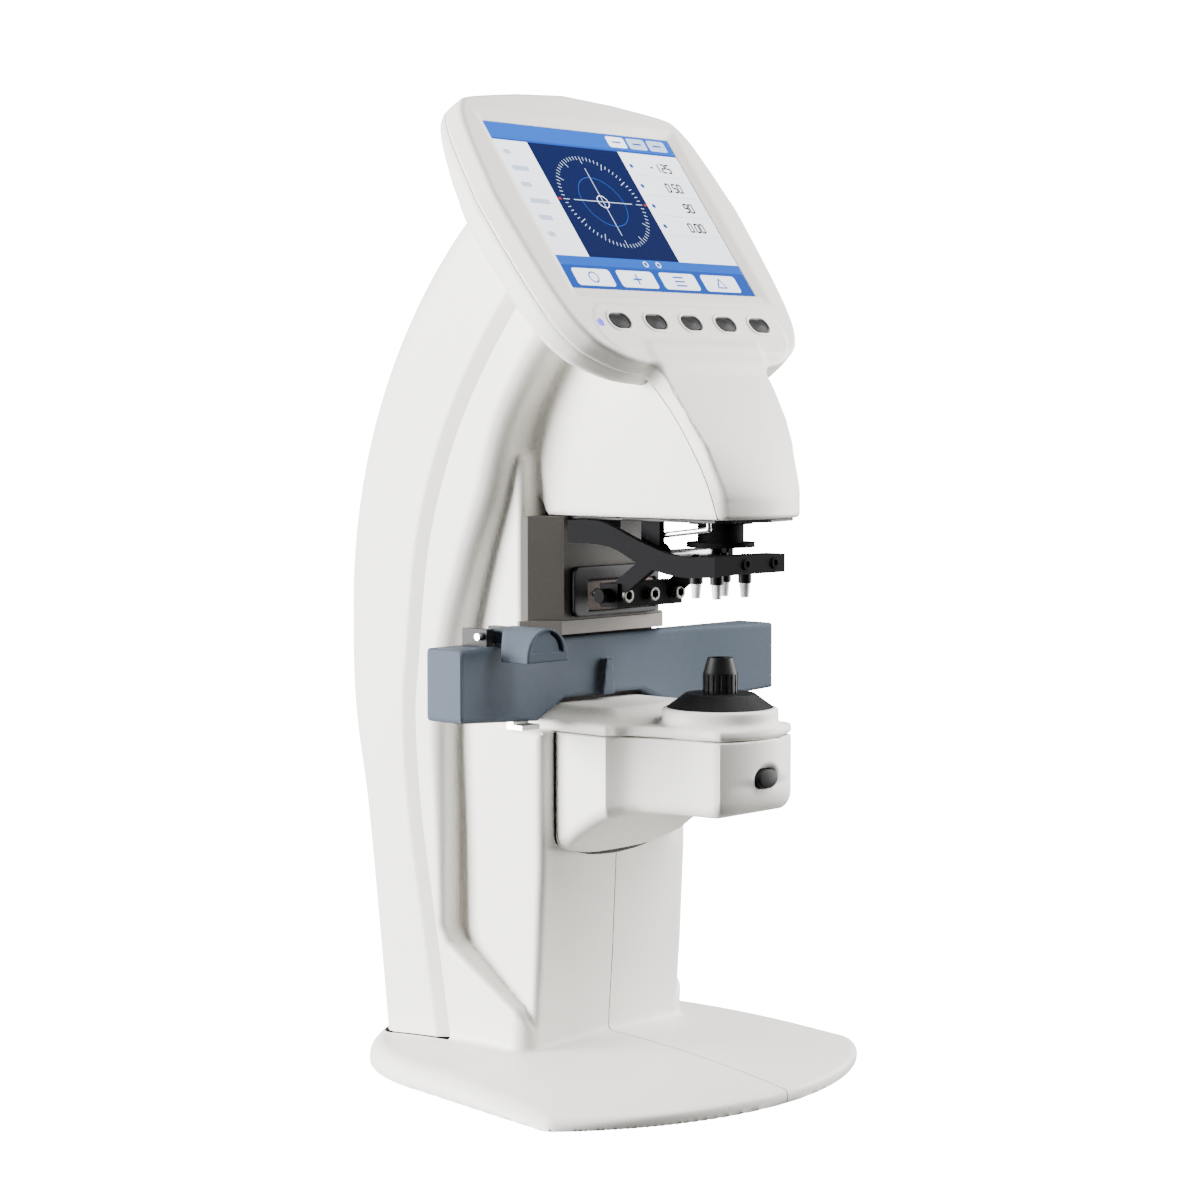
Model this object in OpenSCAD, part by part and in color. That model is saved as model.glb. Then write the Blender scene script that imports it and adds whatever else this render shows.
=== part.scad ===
// Automatic lensmeter: a C-shaped stand with a tilted display, a press and a marker under the head,
// and a lens table in front of the neck. Millimetres, +Z up, front towards -Y, origin at the foot's centre.

/* [Base] */
// Half width of the base at its front corners
base_half_w = 99; // [95:0.5:108]
// Distance of the base's front edge from the origin
base_front = 104.8; // [100:0.5:112]
// Radius of the bowed front edge of the base
base_front_r = 140; // [130:1:170]
// Radius of the round rear of the base
base_rear_r = 88; // [86:0.5:92]
// Height of the base's domed top at its crown
base_crown_z = 15.5; // [14:0.5:20]
// Radius of the dome over the base
base_dome_r = 680; // [600:10:900]
// Height of the rubber feet under the base rim
foot_h = 1.2; // [1:0.1:2]
// Radius of one rubber foot
foot_r = 8; // [6:0.5:10]

/* [Column] */
// Half width of the column's front
column_half_w = 46.5; // [46:0.5:48]
// Half width across the side arches
arch_half_w = 52; // [50.5:0.5:55]
// Half width between the recessed side walls
recess_half_w = 42; // [41:0.5:43]
// Front face of the column, in front of the origin
column_front = 10.7; // [10:0.1:12]
// Wall between the housing's outside and its hollow
wall = 3.5; // [2.5:0.1:4]
// Gap at the parting lines of the housing
seam = 0.5; // [0.3:0.1:0.8]
// Radius of the rear cover's long edges
rear_edge_r = 14; // [8:1:18]

/* [Head] */
// Half width of the head
head_half_w = 28; // [27:0.5:30]
// Height of the head's lower edge
head_z = 238; // [236:0.5:242]
// Reach of the nose in front of the origin
nose_reach = 97; // [95:0.5:100]
// Radius of the bowed front of the nose
nose_bow_r = 56; // [52:1:80]

/* [Display] */
// Width of the lit screen
lcd_w = 115.2; // [110:0.1:118]
// Height of the lit screen
lcd_h = 86.4; // [82:0.1:88]
// Height of the screen's centre
lcd_z = 365.6; // [364:0.1:368]
// Lean of the screen back from the vertical
lcd_tilt = 36.12; // [34:0.1:38]
// Half width of the bezel at mid height
bezel_half_w = 76.5; // [75:0.5:78]
// Thickness of the bezel
bezel_t = 8.5; // [8:0.1:10]
// Spacing of the keys
key_pitch = 22; // [20:0.5:23]
// Length of one oval key
key_l = 11.5; // [10:0.1:13]
// Height of one oval key
key_h = 7; // [6:0.1:8]
// Travel of a key
key_travel = 1; // [0.5:0.1:1.2]

/* [Lower arm] */
// Distance of the optical axis in front of the origin
axis_front = 68.5; // [66:0.5:71]
// Reach of the arm's front past the optical axis
arm_reach = 25.5; // [25:0.5:27]
// Radius of the arm's bowed front
arm_bow_r = 45; // [40:1:60]
// Half width of the arm's front
arm_front_half_w = 23.5; // [23:0.5:26]
// Half width of the arm's root
arm_root_half_w = 39; // [38:0.5:42]
// Underside of the arm
arm_bottom_z = 117; // [114:0.5:118]
// Parting line between arm and top cover
arm_seam_z = 149; // [147:0.5:150]
// Top of the arm's cover
arm_top_z = 153; // [152:0.5:154]
// Radius of the white ring under the lens rest
ring_r = 24; // [23:0.5:25]
// Top of the white ring
ring_top_z = 160; // [158:0.5:161]
// Length of the oval read button
read_l = 12; // [11:0.1:13]
// Height of the oval read button
read_h = 7.5; // [7:0.1:8.5]

/* [Lens rest] */
// Radius of the flange at its foot
flange_foot_r = 22; // [21:0.5:22.5]
// Radius of the flange at its top
flange_top_r = 14.4; // [13:0.1:16]
// Height of the flange
flange_h = 5.6; // [4:0.1:6]
// Radius of the grip below the tip
nose_r = 7.2; // [7:0.1:8]
// Radius of the tip that carries the lens
tip_r = 5.3; // [5:0.1:6]
// Height of the grip
grip_h = 8.4; // [7:0.1:9]
// Height of the tapered tip above the grip
tip_h = 6.2; // [5:0.1:7]
// Radius of the light path
path_r = 4; // [3:0.1:4.2]

/* [Lens table] */
// Half length of the lens table
table_half_l = 99; // [96:0.5:101]
// Lower edge of the table
table_z = 157; // [156:0.5:158]
// Height of the table
table_h = 29.3; // [27:0.1:29.8]
// Front of the table's ends, in front of the origin
table_front = 17; // [15:0.5:18]
// Front of the table's middle, in front of the origin
table_mid_front = 4; // [3:0.5:5]
// Back of the table, behind the origin
table_back = 3.3; // [3:0.1:3.5]
// Radius of the two rods that carry the table
rod_r = 3; // [2.5:0.1:3.5]

/* [Press and marker] */
// Height of the press pins' lower ends
pin_tip_z = 205; // [204:0.5:207]
// Distance of the press side plate's outer face from the middle
press_x = 30.5; // [30:0.1:32]
// Half spacing of the press pins across
pin_half_x = 9; // [8.5:0.1:10]
// Half spacing of the press pins in depth
pin_half_y = 5.5; // [5:0.1:6]
// Spacing of the marker pens
pen_pitch = 16.4; // [16:0.1:18]
// Side of the marker's square bar
bar_side = 10; // [9:0.5:10]
// Half length of the marker's bar
bar_half_l = 20.5; // [20:0.1:21.5]
// Radius of the marker's pivot pin
pivot_r = 2; // [1.5:0.1:2.5]

/* [Fits] */
// Gap between a fixed piece and its seat
seat_gap = 0.1; // [0.05:0.01:0.2]
// Radial clearance of a turning or sliding round fit
run_gap = 0.05; // [0.02:0.01:0.1]
// Clearance round a moving button or bar
move_gap = 0.4; // [0.3:0.05:0.6]

/* [Hidden] */
$fn = 64;

far = 400;
shell_white = "#e6e5e0";
black = "#2b2c2f";
steel = "#b9bcc0";
board_green = "#2f6b4a";
blue_grey = "#76838f";

// Points of an arc from angle a0 to a1
function arc(c, r, a0, a1, n = 8) = [for (i = [0 : n]) c + r * [cos(a0 + (a1 - a0) * i / n),
    sin(a0 + (a1 - a0) * i / n)]];
// One point of a smooth curve between b and c
function between(a, b, c, d, t) = 0.5 * (2 * b + (c - a) * t + (2 * a - 5 * b + 4 * c - d) * t * t
    + (3 * b - a - 3 * c + d) * t * t * t);
// A smooth curve through the given points, n steps a span
function curve(p, n = 4) = [for (i = [0 : len(p) - 2]) for (k = [0 : n - 1])
    between(p[max(i - 1, 0)], p[i], p[i + 1], p[min(i + 2, len(p) - 1)], k / n), p[len(p) - 1]];
function flip(p) = [for (i = [len(p) - 1 : -1 : 0]) p[i]];
function mirrored(p) = [for (q = flip(p)) [-q[0], q[1]]];
function moved(p, d) = [for (q = p) q + d];

// A profile drawn in depth and height, carried across the width
module across(x0, x1) {
    translate([x0, 0, 0]) rotate([90, 0, 90]) linear_extrude(x1 - x0) children();
}
// A profile drawn in width and height, carried along the depth
module along(y0, y1) {
    translate([0, y1, 0]) rotate([90, 0, 0]) linear_extrude(y1 - y0) children();
}
// A box from its low corner to its high corner
module box(low, high) {
    translate(low) cube(high - low);
}
// A flat oval of the given length and height
module oval(l, h) {
    square([l - h, h], center = true);
    for (s = [-1, 1]) translate([s * (l - h) / 2, 0]) circle(h / 2);
}
// A closed skin through rings of points
module loft(rings) {
    n = len(rings[0]);
    last = (len(rings) - 1) * n;
    polyhedron(points = [for (r = rings) each r], faces = concat([[for (i = [0 : n - 1]) i]],
        [[for (i = [n - 1 : -1 : 0]) last + i]], [for (j = [0 : len(rings) - 2]) for (i = [0 : n - 1])
        let (a = j * n + i, b = j * n + (i + 1) % n) each [[b, a, a + n], [b, a + n, b + n]]]));
}

// Side outlines, as depth and height
groove = curve([[36, 2], [45.3, 53.5], [55.4, 109], [58.9, 149], [56.9, 174], [50.4, 224], [37.4, 262.7],
    [20, 294.5], [-4.6, 327], [-30, 352]]);
rear = curve([[84, 2], [91.4, 64], [97.6, 111], [103.7, 143], [106, 172], [104.4, 224], [95.3, 266],
    [83.2, 295], [57.2, 337.3], [16.7, 376.7]]);
arch_inner = concat(curve([[-6.3, 28.4], [17.8, 42.4], [42, 57.3]]),
    curve([[43.2, 64], [43.6, 102], [44.6, 146], [36.6, 192], [29.7, 216], [15.6, 243], [2.4, 259.3]]),
    [[-3, 286], [-14, 300], [-36, 300]]);
head_seam = curve([[-nose_reach + 9, head_z], [-nose_reach + 15.2, head_z + 19],
    [-nose_reach / 2 - 21.1, head_z + 40], [-56.6, head_z + 55.7]]);
neck_front = 7;

// Display frame: x across, y up the screen, z out of the screen
lcd_y = -13.7;
lcd_lean = 90 - lcd_tilt;
bezel_face = 2.5;
bezel_back = bezel_face - bezel_t;
shell_top_t = 5.5;
shell_bottom_t = 11;
bezel_top = 61.7;
bezel_bottom = 83;
shell_low = bezel_bottom - 2;
shell_inset = 0.6;
bezel_side = curve([[30, -bezel_bottom], [46, -80], [bezel_half_w - 13, -71], [bezel_half_w - 5, -56],
    [bezel_half_w - 1.5, -32], [bezel_half_w, 0], [bezel_half_w - 2, 26], [bezel_half_w - 5.5, 42],
    [bezel_half_w - 10, 50.5], [bezel_half_w - 17, 54.5], [30, bezel_top - 2.5]]);
bezel_outline = concat(bezel_side, [[0, bezel_top]], mirrored(bezel_side));
key_row = -61.5;
key_flange = 1;
key_rim = 1.2;
key_proud = 0.8;
board_t = 1.6;
board_n = -key_flange - key_rim - 2 * move_gap - key_travel - board_t;
led_x = -56;

module in_display() {
    translate([0, lcd_y, lcd_z]) rotate([lcd_lean, 0, 0]) children();
}
// The display and everything in front of it, grown by a gap
shell_wedge = atan2(shell_bottom_t - shell_top_t, bezel_top + bezel_bottom);
module display_space(gap) {
    in_display() translate([0, -bezel_bottom, bezel_back - shell_bottom_t - gap])
        rotate([shell_wedge, 0, 0])
        translate([-far, -gap, 0]) cube([2 * far, far, far]);
}

// Plan of the base
base_arc_y = base_front_r - base_front;
base_rear_y = 103.5 - base_rear_r;
corner_a = asin(base_half_w / base_front_r) - 2.5;
base_side = concat(arc([0, base_arc_y], base_front_r, -90, -90 + corner_a, 10),
    [[base_half_w - 0.6, -60.5], [base_half_w, -57]], arc([0, base_rear_y], base_rear_r, 0, 90, 12));
base_plan = concat(base_side, mirrored(base_side));
dome_y = 10;

module base_dome(gap) {
    translate([0, dome_y, base_crown_z - base_dome_r + gap]) sphere(base_dome_r, $fn = 200);
}
module base_solid() {
    intersection() {
        translate([0, 0, foot_h - 0.4]) linear_extrude(base_crown_z) polygon(base_plan);
        base_dome(0);
    }
}
// Plan with rounded front corners
module front_rounded(half_w, front, r) {
    translate([-half_w, -front + r]) square([2 * half_w, far]);
    translate([-half_w + r, -front]) square([2 * (half_w - r), far]);
    for (s = [-1, 1]) translate([s * (half_w - r), -front + r]) circle(r);
}
base_sink = 8;
foot_back = 4.7;
lean_z = 92;
neck_z = 256;
column_r = 6;
foot_corner_r = 11;
neck_low = arm_seam_z - 2 * seat_gap;
column_side = concat([[-column_front + foot_back, base_sink], [-column_front, lean_z],
    [-column_front, neck_low], [neck_front, neck_low], [neck_front, neck_z]],
    flip([for (p = groove) if (p[1] < neck_z && p[1] > base_sink) p]));
module column_solid() {
    intersection() {
        across(-column_half_w, column_half_w) polygon(column_side);
        linear_extrude(far) front_rounded(column_half_w, column_front, column_r);
        union() {
            box([-column_half_w, -far, 0], [column_half_w, far, arm_seam_z]);
            box([-recess_half_w, -far, 0], [recess_half_w, far, far]);
        }
        recess_cut();
    }
}
// Room left of the pocket in each side of the column
module recess_cut() {
    box([-recess_half_w, -far, 0], [recess_half_w, far, far]);
    across(-column_half_w, column_half_w)
        polygon([[-far, 0], [far, 0], [far, 57], [42, 57.3], [12, 60], [6, 300], [-far, 300]]);
}
arch_side = concat([[-column_front + foot_back, base_sink]], arch_inner,
    flip([for (p = groove) if (p[1] > base_sink) p]));
module side_arches() {
    intersection() {
        for (s = [-1, 1]) scale([s, 1, 1]) across(recess_half_w - 1, arch_half_w) polygon(arch_side);
        linear_extrude(far) front_rounded(arch_half_w, column_front, foot_corner_r);
    }
}
head_side = concat(moved(head_seam, [seam, 0]), [[-30, 330], [20, 330], [35, 262], [12, head_z]]);
arch_top = concat([for (p = arch_inner) if (p[1] > 243) p], flip([for (p = groove) if (p[1] > 250) p]));
module head_solid() {
    across(-head_half_w, head_half_w) polygon(head_side);
    across(-recess_half_w, recess_half_w) polygon(arch_top);
}
// Hollow inside both halves of the housing
floor_z = base_crown_z + seam;
core_front = -column_front + wall + 0.7;
core_cavity = [[core_front + 3.5, floor_z], [core_front, lean_z], [core_front, arm_seam_z - wall],
    [neck_front + wall, arm_seam_z - wall], [neck_front + wall, head_z + 62],
    [-4, head_z + 80], [far, head_z + 80], [far, floor_z]];
head_back = neck_front + wall + 1;
head_cavity = [[-far, head_z - 8], [head_back, head_z - 8], [head_back, head_z + 24], [-4, head_z + 78],
    [-12, head_z + 88], [-43.9, head_z + 48], [-far, head_z + 48]];
core_half_w = recess_half_w - wall;
room_half_w = head_half_w - wall;
tunnel_half_w = 17;
tunnel_low = arm_bottom_z + 4;
tunnel_high = arm_seam_z - 3;
rod_x = 20;
rod_z = 171;
module housing_hollow() {
    across(-core_half_w, core_half_w) polygon(core_cavity);
    across(-room_half_w, room_half_w) polygon(head_cavity);
    box([-tunnel_half_w, -far, tunnel_low], [tunnel_half_w, neck_front, tunnel_high]);
    for (s = [-1, 1]) translate([s * rod_x, 0, rod_z]) rotate([-90, 0, 0])
        cylinder(r = rod_r + move_gap, h = bush_y + bush_l);
    translate([0, 0, -1]) linear_extrude(foot_h + plate_t + 1) base_inset(plate_inset);
    for (s = [-1, 1]) translate([s * head_half_w, screw_y, screw_z]) rotate([0, 90, 0])
        cylinder(r = screw_r + move_gap, h = 2 * screw_depth, center = true);
}
screw_y = -27.8;
screw_z = 294.4;
screw_r = 3.6;
screw_depth = 2.6;
plate_t = 2;
plate_inset = 4;
module base_inset(d) {
    polygon([for (p = base_plan) let (q = p - [0, dome_y]) [0, dome_y] + q * (1 - d / norm(q))]);
}
module housing() {
    difference() {
        union() {
            base_solid();
            column_solid();
            side_arches();
            head_solid();
        }
        housing_hollow();
        display_space(seam / 2);
    }
}
module housing_half(s) {
    color(shell_white) intersection() {
        housing();
        box([s < 0 ? -far : seam / 2, -far, -1], [s < 0 ? -seam / 2 : far, far, far + 100]);
    }
}
module left_housing() { housing_half(-1); }
module right_housing() { housing_half(1); }

// Rear cover, lofted between the groove and the rear outline
bevel_in = 2.5;
bevel_w = 8.5;
function cover_ring(g, r, half_w, edge_r, in, skip) = let (d = norm(r - g), u = (r - g) / d,
    half = concat([[half_w - in, skip], [half_w, skip + bevel_w]],
    arc([half_w - edge_r, d - edge_r], edge_r, 0, 90, 6)))
    [for (p = concat(half, mirrored(half))) [p[0], g[0] + u[0] * p[1], g[1] + u[1] * p[1]]];
module cover_body(inset, skip) {
    loft([for (i = [0 : len(groove) - 1]) let (u = (rear[i] - groove[i]) / norm(rear[i] - groove[i]))
        cover_ring(groove[i], rear[i] - u * inset, arch_half_w - inset, rear_edge_r - inset, bevel_in,
            skip)]);
}
inlet_x = -20;
switch_x = 20;
rear_z = 40;
rear_y = 88.4;
rear_lean = 7;
inlet_w = 27;
inlet_h = 20;
switch_w = 21;
switch_h = 15;
module on_rear(x) {
    translate([x, rear_y, rear_z]) rotate([-rear_lean, 0, 0]) children();
}
module rear_cover() {
    color(shell_white) difference() {
        cover_body(0, seam);
        cover_body(wall, -2);
        base_dome(seam / 2);
        display_space(seam / 2);
        on_rear(inlet_x) box([-inlet_w / 2 - seat_gap, -10, -inlet_h / 2 - seat_gap],
            [inlet_w / 2 + seat_gap, 10, inlet_h / 2 + seat_gap]);
        on_rear(switch_x) box([-switch_w / 2 - seat_gap, -10, -switch_h / 2 - seat_gap],
            [switch_w / 2 + seat_gap, 10, switch_h / 2 + seat_gap]);
    }
}

// Front cover: bezel and nose in one moulding
recess_slope = 3;
nose_lean = 29;
panel_rim = 2;
panel_t = 5;
nose_side = concat(head_seam, [[-57, head_z + 58], [-64.6, head_z + 62], [-76, head_z + 46.5],
    [-nose_reach - 5, head_z + 24], [-nose_reach - 5, head_z]]);
module window_cut() {
    intersection() {
        rotate([90, 0, 0]) linear_extrude(far, center = true) polygon([[-lcd_w / 2, -1], [lcd_w / 2, -1],
            [lcd_w / 2, 0.2], [lcd_w / 2 + recess_slope, bezel_face], [lcd_w / 2 + 3 * recess_slope, 10],
            [-lcd_w / 2 - 3 * recess_slope, 10], [-lcd_w / 2 - recess_slope, bezel_face], [-lcd_w / 2, 0.2]]);
        rotate([90, 0, 90]) linear_extrude(far, center = true) polygon([[-lcd_h / 2, -1], [lcd_h / 2, -1],
            [lcd_h / 2, 0.2], [lcd_h / 2 + recess_slope, bezel_face], [lcd_h / 2 + 3 * recess_slope, 10],
            [-lcd_h / 2 - 3 * recess_slope, 10], [-lcd_h / 2 - recess_slope, bezel_face], [-lcd_h / 2, 0.2]]);
    }
}
// The bowed, leaning front of the nose
module nose_bow() {
    translate([0, -nose_reach + nose_bow_r / cos(nose_lean), head_z + 8]) rotate([-nose_lean, 0, 0])
        cylinder(r = nose_bow_r, h = far, center = true);
}
module nose_body() {
    intersection() {
        across(-head_half_w, head_half_w) polygon(nose_side);
        nose_bow();
    }
}
module nose_hollow() {
    intersection() {
        across(-room_half_w, room_half_w) polygon(moved(nose_side, [wall + 1, -wall]));
        translate([0, wall, 0]) nose_bow();
    }
}
module front_cover() {
    color("#dcdad4") difference() {
        union() {
            in_display() translate([0, 0, bezel_back]) linear_extrude(bezel_t) polygon(bezel_outline);
            nose_body();
        }
        nose_hollow();
        in_display() {
            window_cut();
            translate([-lcd_w / 2 - panel_rim - seat_gap, -lcd_h / 2 - panel_rim - seat_gap,
                bezel_back - 1])
                cube([lcd_w + 2 * (panel_rim + seat_gap), lcd_h + 2 * (panel_rim + seat_gap),
                    1 - bezel_back + seat_gap]);
            translate([-pad_half_w - seat_gap, pad_low - seat_gap, bezel_back - 1])
                cube([2 * (pad_half_w + seat_gap), pad_high - pad_low + 2 * seat_gap,
                    1 - bezel_back - key_flange]);
            for (i = [-2 : 2]) translate([i * key_pitch, key_row, -far / 2]) linear_extrude(far)
                oval(key_l + 2 * move_gap, key_h + 2 * move_gap);
            translate([led_x, key_row - 1, -far / 2]) cylinder(r = led_r + seat_gap, h = far);
        }
    }
}
pad_half_w = 61;
pad_low = -68;
pad_high = -53;
led_r = 1.6;

module display_rear_shell() {
    color(shell_white) difference() {
        intersection() {
            in_display() translate([0, 0, bezel_back - shell_bottom_t - 1])
                linear_extrude(shell_bottom_t + 1 - seam / 2)
                polygon([for (p = bezel_outline) let (k = 1 - shell_inset / norm(p))
                    [p[0] * k, max(p[1], -shell_low) * k]]);
            display_space(0);
        }
        in_display() translate([0, 0, bezel_back - 3]) linear_extrude(far)
            polygon([for (p = bezel_outline) p * (1 - wall / norm(p))]);
    }
}
module lcd_panel() {
    color("#3f5fa8") in_display() translate([-lcd_w / 2 - panel_rim, -lcd_h / 2 - panel_rim, -panel_t])
        cube([lcd_w + 2 * panel_rim, lcd_h + 2 * panel_rim, panel_t]);
}
module status_led() {
    color("#6f7df0") in_display() translate([led_x, key_row - 1, board_n + board_t + seat_gap])
        cylinder(r = led_r, h = bezel_face - board_n - board_t);
}
module key_cap(i) {
    color("#4a4b4f") in_display() translate([i * key_pitch, key_row, 0]) {
        translate([0, 0, -key_flange - move_gap])
            linear_extrude(bezel_face + key_flange + move_gap + key_proud)
            oval(key_l, key_h);
        translate([0, 0, -key_flange - move_gap - key_rim]) linear_extrude(key_rim)
            oval(key_l + 2 * key_rim, key_h + 2 * key_rim);
    }
}
module key_1() { key_cap(-2); }
module key_2() { key_cap(-1); }
module key_3() { key_cap(0); }
module key_4() { key_cap(1); }
module key_5() { key_cap(2); }
module keypad_board() {
    color(board_green) in_display() translate([-pad_half_w, pad_low, board_n])
        cube([2 * pad_half_w, pad_high - pad_low, board_t]);
}

// Under the base
foot_places = [[-72, -50], [72, -50], [-48, 66], [48, 66]];
module base_plate() {
    color("#9a9c9e") translate([0, 0, foot_h]) linear_extrude(plate_t - seat_gap)
        base_inset(plate_inset + seam);
}
module rubber_feet() {
    color("#26272a") for (p = foot_places) translate([p[0], p[1], 0]) cylinder(r = foot_r, h = foot_h);
}

// Mouth of the stand
liner_front = 8.4;
liner_half_w = 30;
flank_half_w = 40;
flank_back = 3;
slot_low = arm_top_z + 0.4;
slot_back = table_back + 1;
ledge_z = 188.3;
ledge_t = 5.7;
ledge_front = 9;
ledge_half_w = 45;
liner_side = [[liner_half_w, -liner_front], [flank_half_w, flank_back],
    [flank_half_w, neck_front - seat_gap]];
liner_plan = concat(liner_side, mirrored(liner_side));
module mouth_liner() {
    color("#7a7672") difference() {
        translate([0, 0, slot_low]) linear_extrude(head_z - slot_low - 0.3) polygon(liner_plan);
        box([-far, -far, 0], [far, slot_back, ledge_z + ledge_t + seat_gap]);
        for (s = [-1, 1]) translate([s * rod_x, 0, rod_z]) rotate([-90, 0, 0])
            cylinder(r = rod_r + move_gap, h = far);
    }
}
ledge_side = [[liner_half_w + 2, -ledge_front], [ledge_half_w, flank_back],
    [ledge_half_w, slot_back - seat_gap]];
module ledge_plate() {
    color("#a9a6a1") translate([0, 0, ledge_z]) linear_extrude(ledge_t)
        polygon(concat(ledge_side, mirrored(ledge_side)));
}
pad_front = 11.2;
pad_face_half_w = 25;
module ink_pad() {
    color(black) box([-pad_face_half_w, -pad_front, bar_z - 6],
        [pad_face_half_w, -liner_front - seat_gap, bar_z + 15]);
}

// Lower arm
arm_front_y = -axis_front - arm_reach;
arm_waist_y = -40;
arm_bow_a = asin(arm_front_half_w / arm_bow_r);
arm_side_plan = concat(arc([0, arm_front_y + arm_bow_r], arm_bow_r, -90, -90 + arm_bow_a, 6),
    curve([[arm_front_half_w + 0.9, arm_front_y + 8.4], [arm_front_half_w + 2.4, arm_front_y + 22],
    [arm_front_half_w + 6, arm_waist_y - 16], [arm_root_half_w - 5, arm_waist_y - 5],
    [arm_root_half_w, arm_waist_y]]), [[arm_root_half_w, -column_front - seat_gap]]);
arm_plan = concat(arm_side_plan, mirrored(arm_side_plan));
arm_profile = concat([[-column_front - seat_gap, arm_seam_z - 0.2], [arm_front_y - 1, arm_seam_z - 0.2],
    [arm_front_y - 1, arm_bottom_z + 12]], arc([arm_front_y + 12, arm_bottom_z + 12], 12, 180, 270, 6),
    curve([[-50, arm_bottom_z], [arm_waist_y, arm_bottom_z - 2], [arm_waist_y + 11, arm_bottom_z - 8],
    [arm_waist_y + 22, arm_bottom_z - 15.5], [-column_front - seat_gap, arm_bottom_z - 24.5]]));
corbel_side = curve([[0, arm_bottom_z - 24.5], [16, arm_bottom_z - 23.5], [27, arm_bottom_z - 21],
    [arm_root_half_w, arm_bottom_z - 16]]);
corbel = concat(corbel_side, [[arm_root_half_w + 1, arm_seam_z], [-arm_root_half_w - 1, arm_seam_z]],
    mirrored(corbel_side));
read_z = 132.4;
front_wall = 6;
module arm_housing() {
    color(shell_white) difference() {
        intersection() {
            linear_extrude(far) polygon(arm_plan);
            across(-far, far) polygon(arm_profile);
            along(-far, far) polygon(corbel);
        }
        box([-tunnel_half_w, arm_front_y + front_wall, tunnel_low], [tunnel_half_w, 0, arm_seam_z + 1]);
        translate([0, arm_front_y - 5, read_z]) rotate([-90, 0, 0]) linear_extrude(20)
            oval(read_l + 2 * move_gap, read_h + 2 * move_gap);
    }
}
hump_z = arm_top_z + 9.5;
hump_back = slot_back - move_gap;
hump_half_w = arm_root_half_w - 2;
hump_top_half_w = 24;
hump_front = arm_waist_y - 4;
hump_side = [[hump_half_w, arm_seam_z], [hump_half_w, arm_top_z], [hump_top_half_w, hump_z]];
module arm_top_cover() {
    color(shell_white) difference() {
        union() {
            translate([0, 0, arm_seam_z]) linear_extrude(arm_top_z - arm_seam_z) union() {
                polygon(arm_plan);
                polygon([[-arm_root_half_w, arm_waist_y], [arm_root_half_w, arm_waist_y],
                    [arm_root_half_w, hump_back], [-arm_root_half_w, hump_back]]);
            }
            translate([0, -axis_front, arm_seam_z]) cylinder(r = ring_r, h = ring_top_z - arm_seam_z);
            intersection() {
                along(hump_front, hump_back) polygon(concat(hump_side, mirrored(hump_side)));
                across(-far, far) polygon([[hump_back, arm_seam_z], [hump_back, hump_z],
                    [hump_front + 14, hump_z], [hump_front, arm_top_z], [hump_front, arm_seam_z]]);
            }
        }
        translate([0, -axis_front, 0]) cylinder(r = path_r + 2, h = far);
    }
}
module read_button() {
    color("#3c3d41") translate([0, arm_front_y, read_z]) rotate([-90, 0, 0]) {
        translate([0, 0, -1]) linear_extrude(front_wall + 1 + move_gap) oval(read_l, read_h);
        translate([0, 0, front_wall + move_gap]) linear_extrude(1.4) oval(read_l + 3, read_h + 3);
    }
}
module read_switch() {
    color(black) box([-5, arm_front_y + front_wall + 3.2, bracket_z + bracket_t + seat_gap],
        [5, arm_front_y + front_wall + 7, read_z + 4]);
}
module lens_rest_flange() {
    color("#232427") translate([0, -axis_front, ring_top_z + seat_gap]) difference() {
        cylinder(r1 = flange_foot_r, r2 = flange_top_r, h = flange_h);
        translate([0, 0, -1]) cylinder(r = path_r + 1, h = flange_h + 2);
    }
}
nose_z = ring_top_z + flange_h + 2 * seat_gap;
flutes = 18;
module lens_rest_nose() {
    color("#1f2023") translate([0, -axis_front, nose_z]) difference() {
        union() {
            cylinder(r = nose_r, h = grip_h);
            translate([0, 0, grip_h]) cylinder(r1 = nose_r - 0.2, r2 = tip_r, h = tip_h);
        }
        translate([0, 0, -1]) cylinder(r = path_r, h = far);
        for (i = [0 : flutes - 1]) rotate(i * 360 / flutes) translate([nose_r + 0.25, 0, -1])
            cylinder(r = 0.65, h = grip_h + 0.4, $fn = 16);
    }
}
optics_r = 8;
optics_z = 130;
module lower_optics() {
    color("#3a3b3f") translate([0, -axis_front, optics_z]) difference() {
        cylinder(r = optics_r, h = arm_seam_z - optics_z - seat_gap);
        translate([0, 0, -1]) cylinder(r = optics_r - 1.5, h = far);
    }
}
bracket_z = tunnel_low + 1;
bracket_t = 3;
module sensor_board() {
    color(board_green) box([-12, -axis_front - 12, bracket_z + bracket_t + seat_gap],
        [12, -axis_front + 12, optics_z - seat_gap]);
}

// Lens table and nose rest
table_top = table_z + table_h;
table_plan_side = curve([[table_half_l, -table_front], [table_half_l - 22, -table_front + 4],
    [table_half_l - 52, -table_mid_front - 3], [table_half_l - 78, -table_mid_front],
    [1, -table_mid_front + 0.3]]);
table_plan = concat(table_plan_side, mirrored(table_plan_side),
    [[-table_half_l, table_back], [table_half_l, table_back]]);
table_rise = 7.5;
table_arch_side = [[hump_top_half_w, table_z + table_rise], [arm_root_half_w + 2, table_z],
    [table_half_l + 1, table_z], [table_half_l + 1, table_top]];
table_arch = concat(table_arch_side, mirrored(table_arch_side));
module lens_table() {
    color(blue_grey) {
        difference() {
            intersection() {
                linear_extrude(far) polygon(table_plan);
                along(-far, far) polygon(table_arch);
            }
            for (s = [-1, 1]) translate([s * rod_x, -rod_seat, rod_z]) rotate([-90, 0, 0])
                cylinder(r = rod_r + seat_gap, h = far);
        }
        along(-table_mid_front - 3, -table_mid_front + 1) polygon([[-4, table_z + table_rise],
            [4, table_z + table_rise], [2, table_z + 19], [-2, table_z + 19]]);
    }
}
rod_l = 46;
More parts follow.
